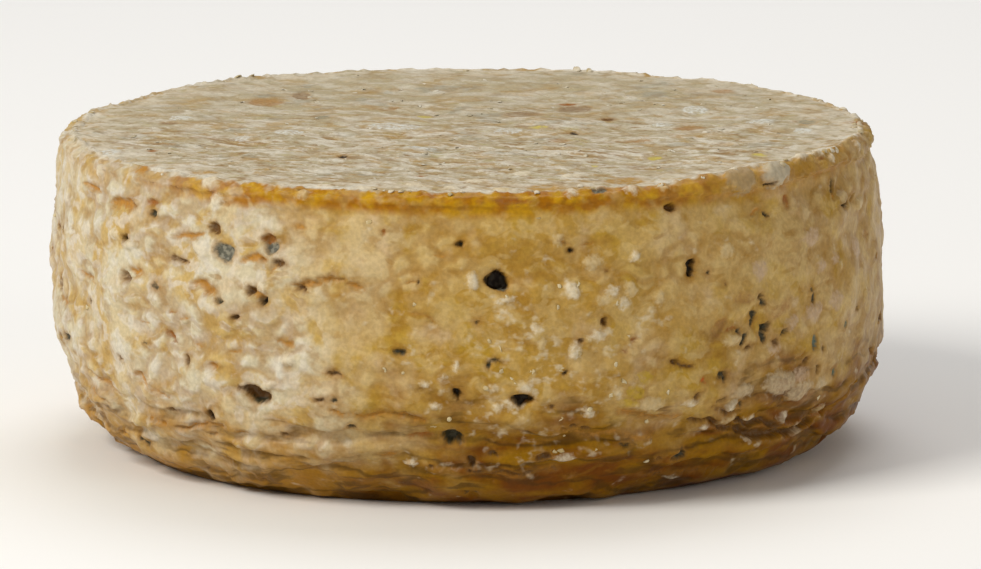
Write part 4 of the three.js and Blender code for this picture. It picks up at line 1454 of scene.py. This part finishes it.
def rind_material():
    """Natural rind: moist pressed curd on the side and a dry crust above the hem."""
    material = bpy.data.materials.new("natural_rind")
    material.use_nodes = True
    tree = material.node_tree
    tree.nodes.clear()
    fields = {
        name: add_node(tree, "ShaderNodeAttribute", attribute_name=name).outputs
        for name in PAINTED
    }
    place = fields["skin_place"]["Vector"]
    above_hem, rise = fields["above_hem"]["Fac"], fields["crust_rise"]["Fac"]
    curd = curd_pattern(tree, place)
    crust = crust_pattern(tree, place)
    knobs = three_noises(tree, place, KNOB_SIZE)
    scallop = three_noises(tree, place, SCALLOP_SIZE)
    fine_noise = add_node(
        tree, "ShaderNodeTexNoise", {"Vector": place, "Scale": 1 / GRIT_SIZE, "Detail": 3.0}
    )
    grit = add_node(
        tree, "ShaderNodeSeparateXYZ", {"Vector": fine_noise.outputs["Color"]}
    ).outputs

    crowd = rough_edge(tree, fields["granule_share"]["Fac"], 0.22, knobs["X"])
    flat = add_node(tree, "ShaderNodeVectorMath", {0: place, 1: GRANULE_FORM}, operation="MULTIPLY")
    granules = add_node(
        tree, "ShaderNodeTexNoise", {"Vector": flat, "Scale": 1 / GRANULE_SIZE, "Detail": 2.0}
    )
    granules = mask(tree, (granules, 0.48, 0.7), (crowd, 0.6, 0.78), 0.6)
    side = paint(tree, side_colour(tree, place, curd), WHITE_GRAIN, granules)
    side = banded(tree, side, above_hem, fields["band_share"]["Fac"], knobs)
    top = crust_colour(tree, place, crust, grit["Z"])
    top = rim_colour(tree, top, rise, knobs, scallop)
    on_crust = mask(tree, (rough_edge(tree, scallop["X"], 6.0, rise), 2.2, 4.0))
    colour = paint(tree, side, top, on_crust)
    colour = marked(tree, colour, fields, grit, crust["streak"])
    colour = add_node(
        tree,
        "ShaderNodeMix",
        {"Factor": 1.0, "A": colour, "B": mask(tree, (grit["Z"], 0.3, 0.7, 0.91, 1.09))},
        data_type="RGBA",
        blend_type="MULTIPLY",
    )

    # One output of the fine noise alone keeps the bump quick
    grainy = add_node(
        tree, "ShaderNodeMath", {0: fine_noise, 1: 0.6, 2: granules}, operation="MULTIPLY_ADD"
    )
    cells = add_node(tree, "ShaderNodeTexVoronoi", {"Vector": place, "Scale": 1 / MESH_PRINT})
    fine = add_node(tree, "ShaderNodeMix", {"Factor": on_crust, "A": grainy, "B": cells})
    bump = add_node(
        tree, "ShaderNodeBump", {"Height": fine, "Strength": 0.35, "Distance": FINE_RELIEF}
    )
    roughness = add_node(
        tree, "ShaderNodeMix", {"Factor": on_crust, "A": SIDE_ROUGHNESS, "B": CRUST_ROUGHNESS}
    )
    shader = add_node(
        tree,
        "ShaderNodeBsdfPrincipled",
        {
            "Base Color": colour,
            "Roughness": roughness,
            "IOR": RIND_IOR,
            "Specular IOR Level": 0.12,
            "Normal": bump,
        },
    )
    add_node(tree, "ShaderNodeOutputMaterial", {"Surface": shader})
    return material


natural_rind = rind_material()
print(len(natural_rind.node_tree.nodes), "nodes in the rind's material")

relief = relief_tree(natural_rind)
rind = bpy.data.objects.new("cheese_rind", grown_mesh(rind_mesh, relief, RELIEF, "cheese_rind"))
bpy.context.scene.collection.objects.link(rind)
rind.data.materials.clear()
rind.data.materials.append(natural_rind)
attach(rind, "root")
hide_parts("cheese_wheel")
print("rind:", len(rind.data.polygons), "faces")

# %% [markdown]
# Loose bits lie on the rind: white grains of dry curd on the side, crumbs along the edge of
# the crust, and thin pale flakes on the top, all lying one way as the mesh left them.
# Each kind is one Geometry Nodes tree that scatters a small low shape over the skin, turns
# and scales each copy at random from a fixed seed, and roughens them with noise.

# %% Where the loose bits lie
skin = rind.data


def stored_values(mesh, name):
    """A number that is stored on every point of a mesh."""
    values = np.empty(len(mesh.vertices), np.float32)
    mesh.attributes[name].data.foreach_get("value", values)
    return values


places_now = mesh_points(skin)
around = np.arctan2(places_now[:, 0], -places_now[:, 1])
rise, eye_rim = stored_values(skin, "crust_rise"), stored_values(skin, "eye_rim")
crowd = granule_share(around, places_now[:, 2])
on_side = step_up(-rise, 0.5, 3) * step_up(places_now[:, 2] / MM, 6, 14)
clear_of_eyes = step_up(eye_rim, 0.4, 1.2)
patchy = np.array([noise.noise(Vector(point) / (6 * MM)) for point in places_now])
on_edge = np.exp(-((rise - 0.4) ** 2) / 1.6) * step_up(patchy, -0.05, 0.25)
on_edge *= 1 - 0.8 * bell(around, MELT_AZIMUTH, MELT_HALF_WIDTH)
store(skin, "speck_share", "FLOAT", on_side * (crowd + 0.03) * clear_of_eyes)
store(skin, "crumb_share", "FLOAT", on_edge)
store(skin, "flake_share", "FLOAT", step_up(rise, 5, 9))
print("densest specks at", round(math.degrees(around[np.argmax(crowd)])), "degrees")

# %% The tree that scatters bits
BIT_INPUTS = ("Per Square mm", "Smallest", "Largest", "Length", "Thickness", "Turn", "Heading")
BIT_SEGMENTS, BIT_RINGS = 8, 5  # a bit has few faces, because there are hundreds
LEVEL_TILT = 0.12  # how far in radians a bit may lean
ROUGH_SCALE = 900.0  # noise of about 1.1 mm, for a coordinate in metres
ROUGH_REACH = 1.5 * MM


def scatter_tree(name, share, material):
    """Scatters flattened lumps over a skin. The named inputs are numbers and sizes in mm."""
    tree, given = open_tree(name, BIT_INPUTS)
    where = add_node(tree, "GeometryNodeInputNamedAttribute", {"Name": share}, data_type="FLOAT")
    density = mask(tree, where.outputs["Attribute"], given["Per Square mm"], 1 / MM**2)
    points = add_node(
        tree,
        "GeometryNodeDistributePointsOnFaces",
        {"Mesh": given["Geometry"], "Density": density, "Seed": SEED},
        distribute_method="RANDOM",
    ).outputs
    lump = add_node(
        tree,
        "GeometryNodeMeshUVSphere",
        {"Segments": BIT_SEGMENTS, "Rings": BIT_RINGS, "Radius": 0.5 * MM},
    )
    size = add_node(
        tree,
        "FunctionNodeRandomValue",
        {"Min": given["Smallest"], "Max": given["Largest"], "Seed": 1},
        data_type="FLOAT",
    )
    form = add_node(
        tree, "ShaderNodeCombineXYZ", {"X": given["Length"], "Y": 1.0, "Z": given["Thickness"]}
    )
    form = add_node(
        tree, "ShaderNodeVectorMath", {"Vector": form, "Scale": size}, operation="SCALE"
    )
    spin = add_node(
        tree,
        "FunctionNodeRandomValue",
        {
            "Min": (-LEVEL_TILT, -LEVEL_TILT, -math.pi),
            "Max": (LEVEL_TILT, LEVEL_TILT, math.pi),
            "Seed": 2,
        },
        data_type="FLOAT_VECTOR",
    )
    loose = add_node(tree, "ShaderNodeCombineXYZ", {"X": 1.0, "Y": 1.0, "Z": given["Turn"]})
    heading = add_node(tree, "ShaderNodeCombineXYZ", {"Z": given["Heading"]})
    spin = add_node(
        tree, "ShaderNodeVectorMath", {0: spin, 1: loose, 2: heading}, operation="MULTIPLY_ADD"
    )
    turn = add_node(
        tree,
        "FunctionNodeRotateRotation",
        {"Rotation": points["Rotation"], "Rotate By": spin},
        rotation_space="LOCAL",
    )
    placed = add_node(
        tree,
        "GeometryNodeInstanceOnPoints",
        {"Points": points["Points"], "Instance": lump, "Rotation": turn, "Scale": form},
    )
    real = add_node(tree, "GeometryNodeRealizeInstances", {"Geometry": placed})
    here = add_node(tree, "GeometryNodeInputPosition")
    rough = add_node(
        tree, "ShaderNodeTexNoise", {"Vector": here, "Scale": ROUGH_SCALE, "Detail": 2.0}
    )
    push = add_node(
        tree,
        "ShaderNodeVectorMath",
        {0: rough.outputs["Color"], 1: (0.5,) * 3},
        operation="SUBTRACT",
    )
    push = add_node(
        tree, "ShaderNodeVectorMath", {"Vector": push, "Scale": ROUGH_REACH}, operation="SCALE"
    )
    moved = add_node(tree, "GeometryNodeSetPosition", {"Geometry": real, "Offset": push})
    close_tree(tree, moved, material)
    return tree


# %% The bits' material
MOTTLE_SCALE = 420.0  # noise of about 2.4 mm, for a coordinate in metres


def bit_material(name, pale, dark, roughness):
    """Dry curd or crust: a matte crumb, mottled between two colours."""
    material = bpy.data.materials.new(name)
    material.use_nodes = True
    tree = material.node_tree
    tree.nodes.clear()
    place = add_node(tree, "ShaderNodeTexCoord").outputs["Object"]
    mottle = add_node(
        tree, "ShaderNodeTexNoise", {"Vector": place, "Scale": MOTTLE_SCALE, "Detail": 3.0}
    )
    colour = paint(tree, hex_colour(dark), hex_colour(pale), (mottle, 0.4, 0.6))
    bump = add_node(
        tree, "ShaderNodeBump", {"Height": mottle, "Strength": 0.4, "Distance": 0.2 * MM}
    )
    shader = add_node(
        tree,
        "ShaderNodeBsdfPrincipled",
        {"Base Color": colour, "Roughness": roughness, "Normal": bump, "Specular IOR Level": 0.3},
    )
    add_node(tree, "ShaderNodeOutputMaterial", {"Surface": shader})
    return material


# %% Scatter the specks, crumbs and flakes
# (name, where, pale and dark colour, roughness, values of BIT_INPUTS)
BITS = (
    ("curd_specks", "speck_share", "cbbd98", "b8a272", 0.6,
     (0.022, 0.5, 1.2, 1.4, 0.26, 1.0, 0.0)),
    ("crust_crumbs", "crumb_share", "cdc3ad", "b3a27c", 0.85,
     (0.22, 0.6, 1.6, 1.3, 0.4, 1.0, 0.0)),
    ("crust_flakes", "flake_share", "cdc5b2", "a89b7e", 0.9,
     (0.007, 0.5, 1.4, 1.6, 0.12, 0.1, -RIDGE_TURN)),
)  # fmt: skip
for name, share, pale, dark, roughness, sizes in BITS:
    tree = scatter_tree(name, share, bit_material("dry_" + name, pale, dark, roughness))
    mesh = grown_mesh(skin, tree, dict(zip(BIT_INPUTS, sizes)), name)
    piece = bpy.data.objects.new(name, mesh)
    bpy.context.scene.collection.objects.link(piece)
    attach(piece, "root")
    print(name, len(mesh.polygons), "faces")

# %% [markdown]
# The photograph has a plain white ground. Here the wheel stands on a wide pale floor, a
# hair below its foot, so that the two faces do not meet. A large soft light stands at the
# left and front, as the bright left side shows, and a weaker one hangs above.

# %% Floor and light
FLOOR_SIZE = 8.0
FLOOR_GAP = 0.2 * MM


def pale_floor():
    """A wide plane of matte white board."""
    material = bpy.data.materials.new("white_board")
    material.use_nodes = True
    shader = material.node_tree.nodes["Principled BSDF"]
    shader.inputs["Base Color"].default_value = hex_colour("f3f2ef")
    shader.inputs["Roughness"].default_value = 0.9
    mesh = bpy.data.meshes.new("floor")
    half = FLOOR_SIZE / 2
    corners = [(-half, -half), (half, -half), (half, half), (-half, half)]
    mesh.from_pydata([(x, y, -FLOOR_GAP) for x, y in corners], [], [(0, 1, 2, 3)])
    mesh.materials.append(material)
    floor = bpy.data.objects.new("floor", mesh)
    bpy.context.scene.collection.objects.link(floor)
    return floor


def soft_light(name, place, size, power, colour):
    """A square area light that looks at the wheel."""
    light = bpy.data.lights.new(name, "AREA")
    light.size, light.energy, light.color = size, power, hex_colour(colour)[:3]
    lamp = bpy.data.objects.new(name, light)
    bpy.context.scene.collection.objects.link(lamp)
    lamp.location = place
    lamp.rotation_euler = (-Vector(place)).to_track_quat("-Z", "Y").to_euler()


pale_floor()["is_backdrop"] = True
# (name, place in metres, size in metres, power in watts, colour)
for light in (
    ("left window", (-1.35, -0.9, 1.35), 0.95, 32.8, "fffcf6"),
    ("top softbox", (0.2, 0.9, 1.6), 1.2, 13, "fbfbff"),
    ("right fill", (1.6, -1.3, 0.7), 1.2, 7.6, "fff8ee"),
):
    soft_light(*light)
world = bpy.data.worlds.new("studio")
bpy.context.scene.world = world
world.use_nodes = True
background = world.node_tree.nodes["Background"]
background.inputs["Color"].default_value = hex_colour("f0efec")
background.inputs["Strength"].default_value = 0.35
bpy.context.scene.view_settings.view_transform = "Standard"
print("floor and lights made")

# %% Measure the boxes and finish
low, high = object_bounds()
sizes = {
    "cad": [list(cad_low), list(cad_high)],
    "visual": [list(low), list(high)],
}
print("box in mm:", [round(v / MM, 1) for v in (*low, *high)])
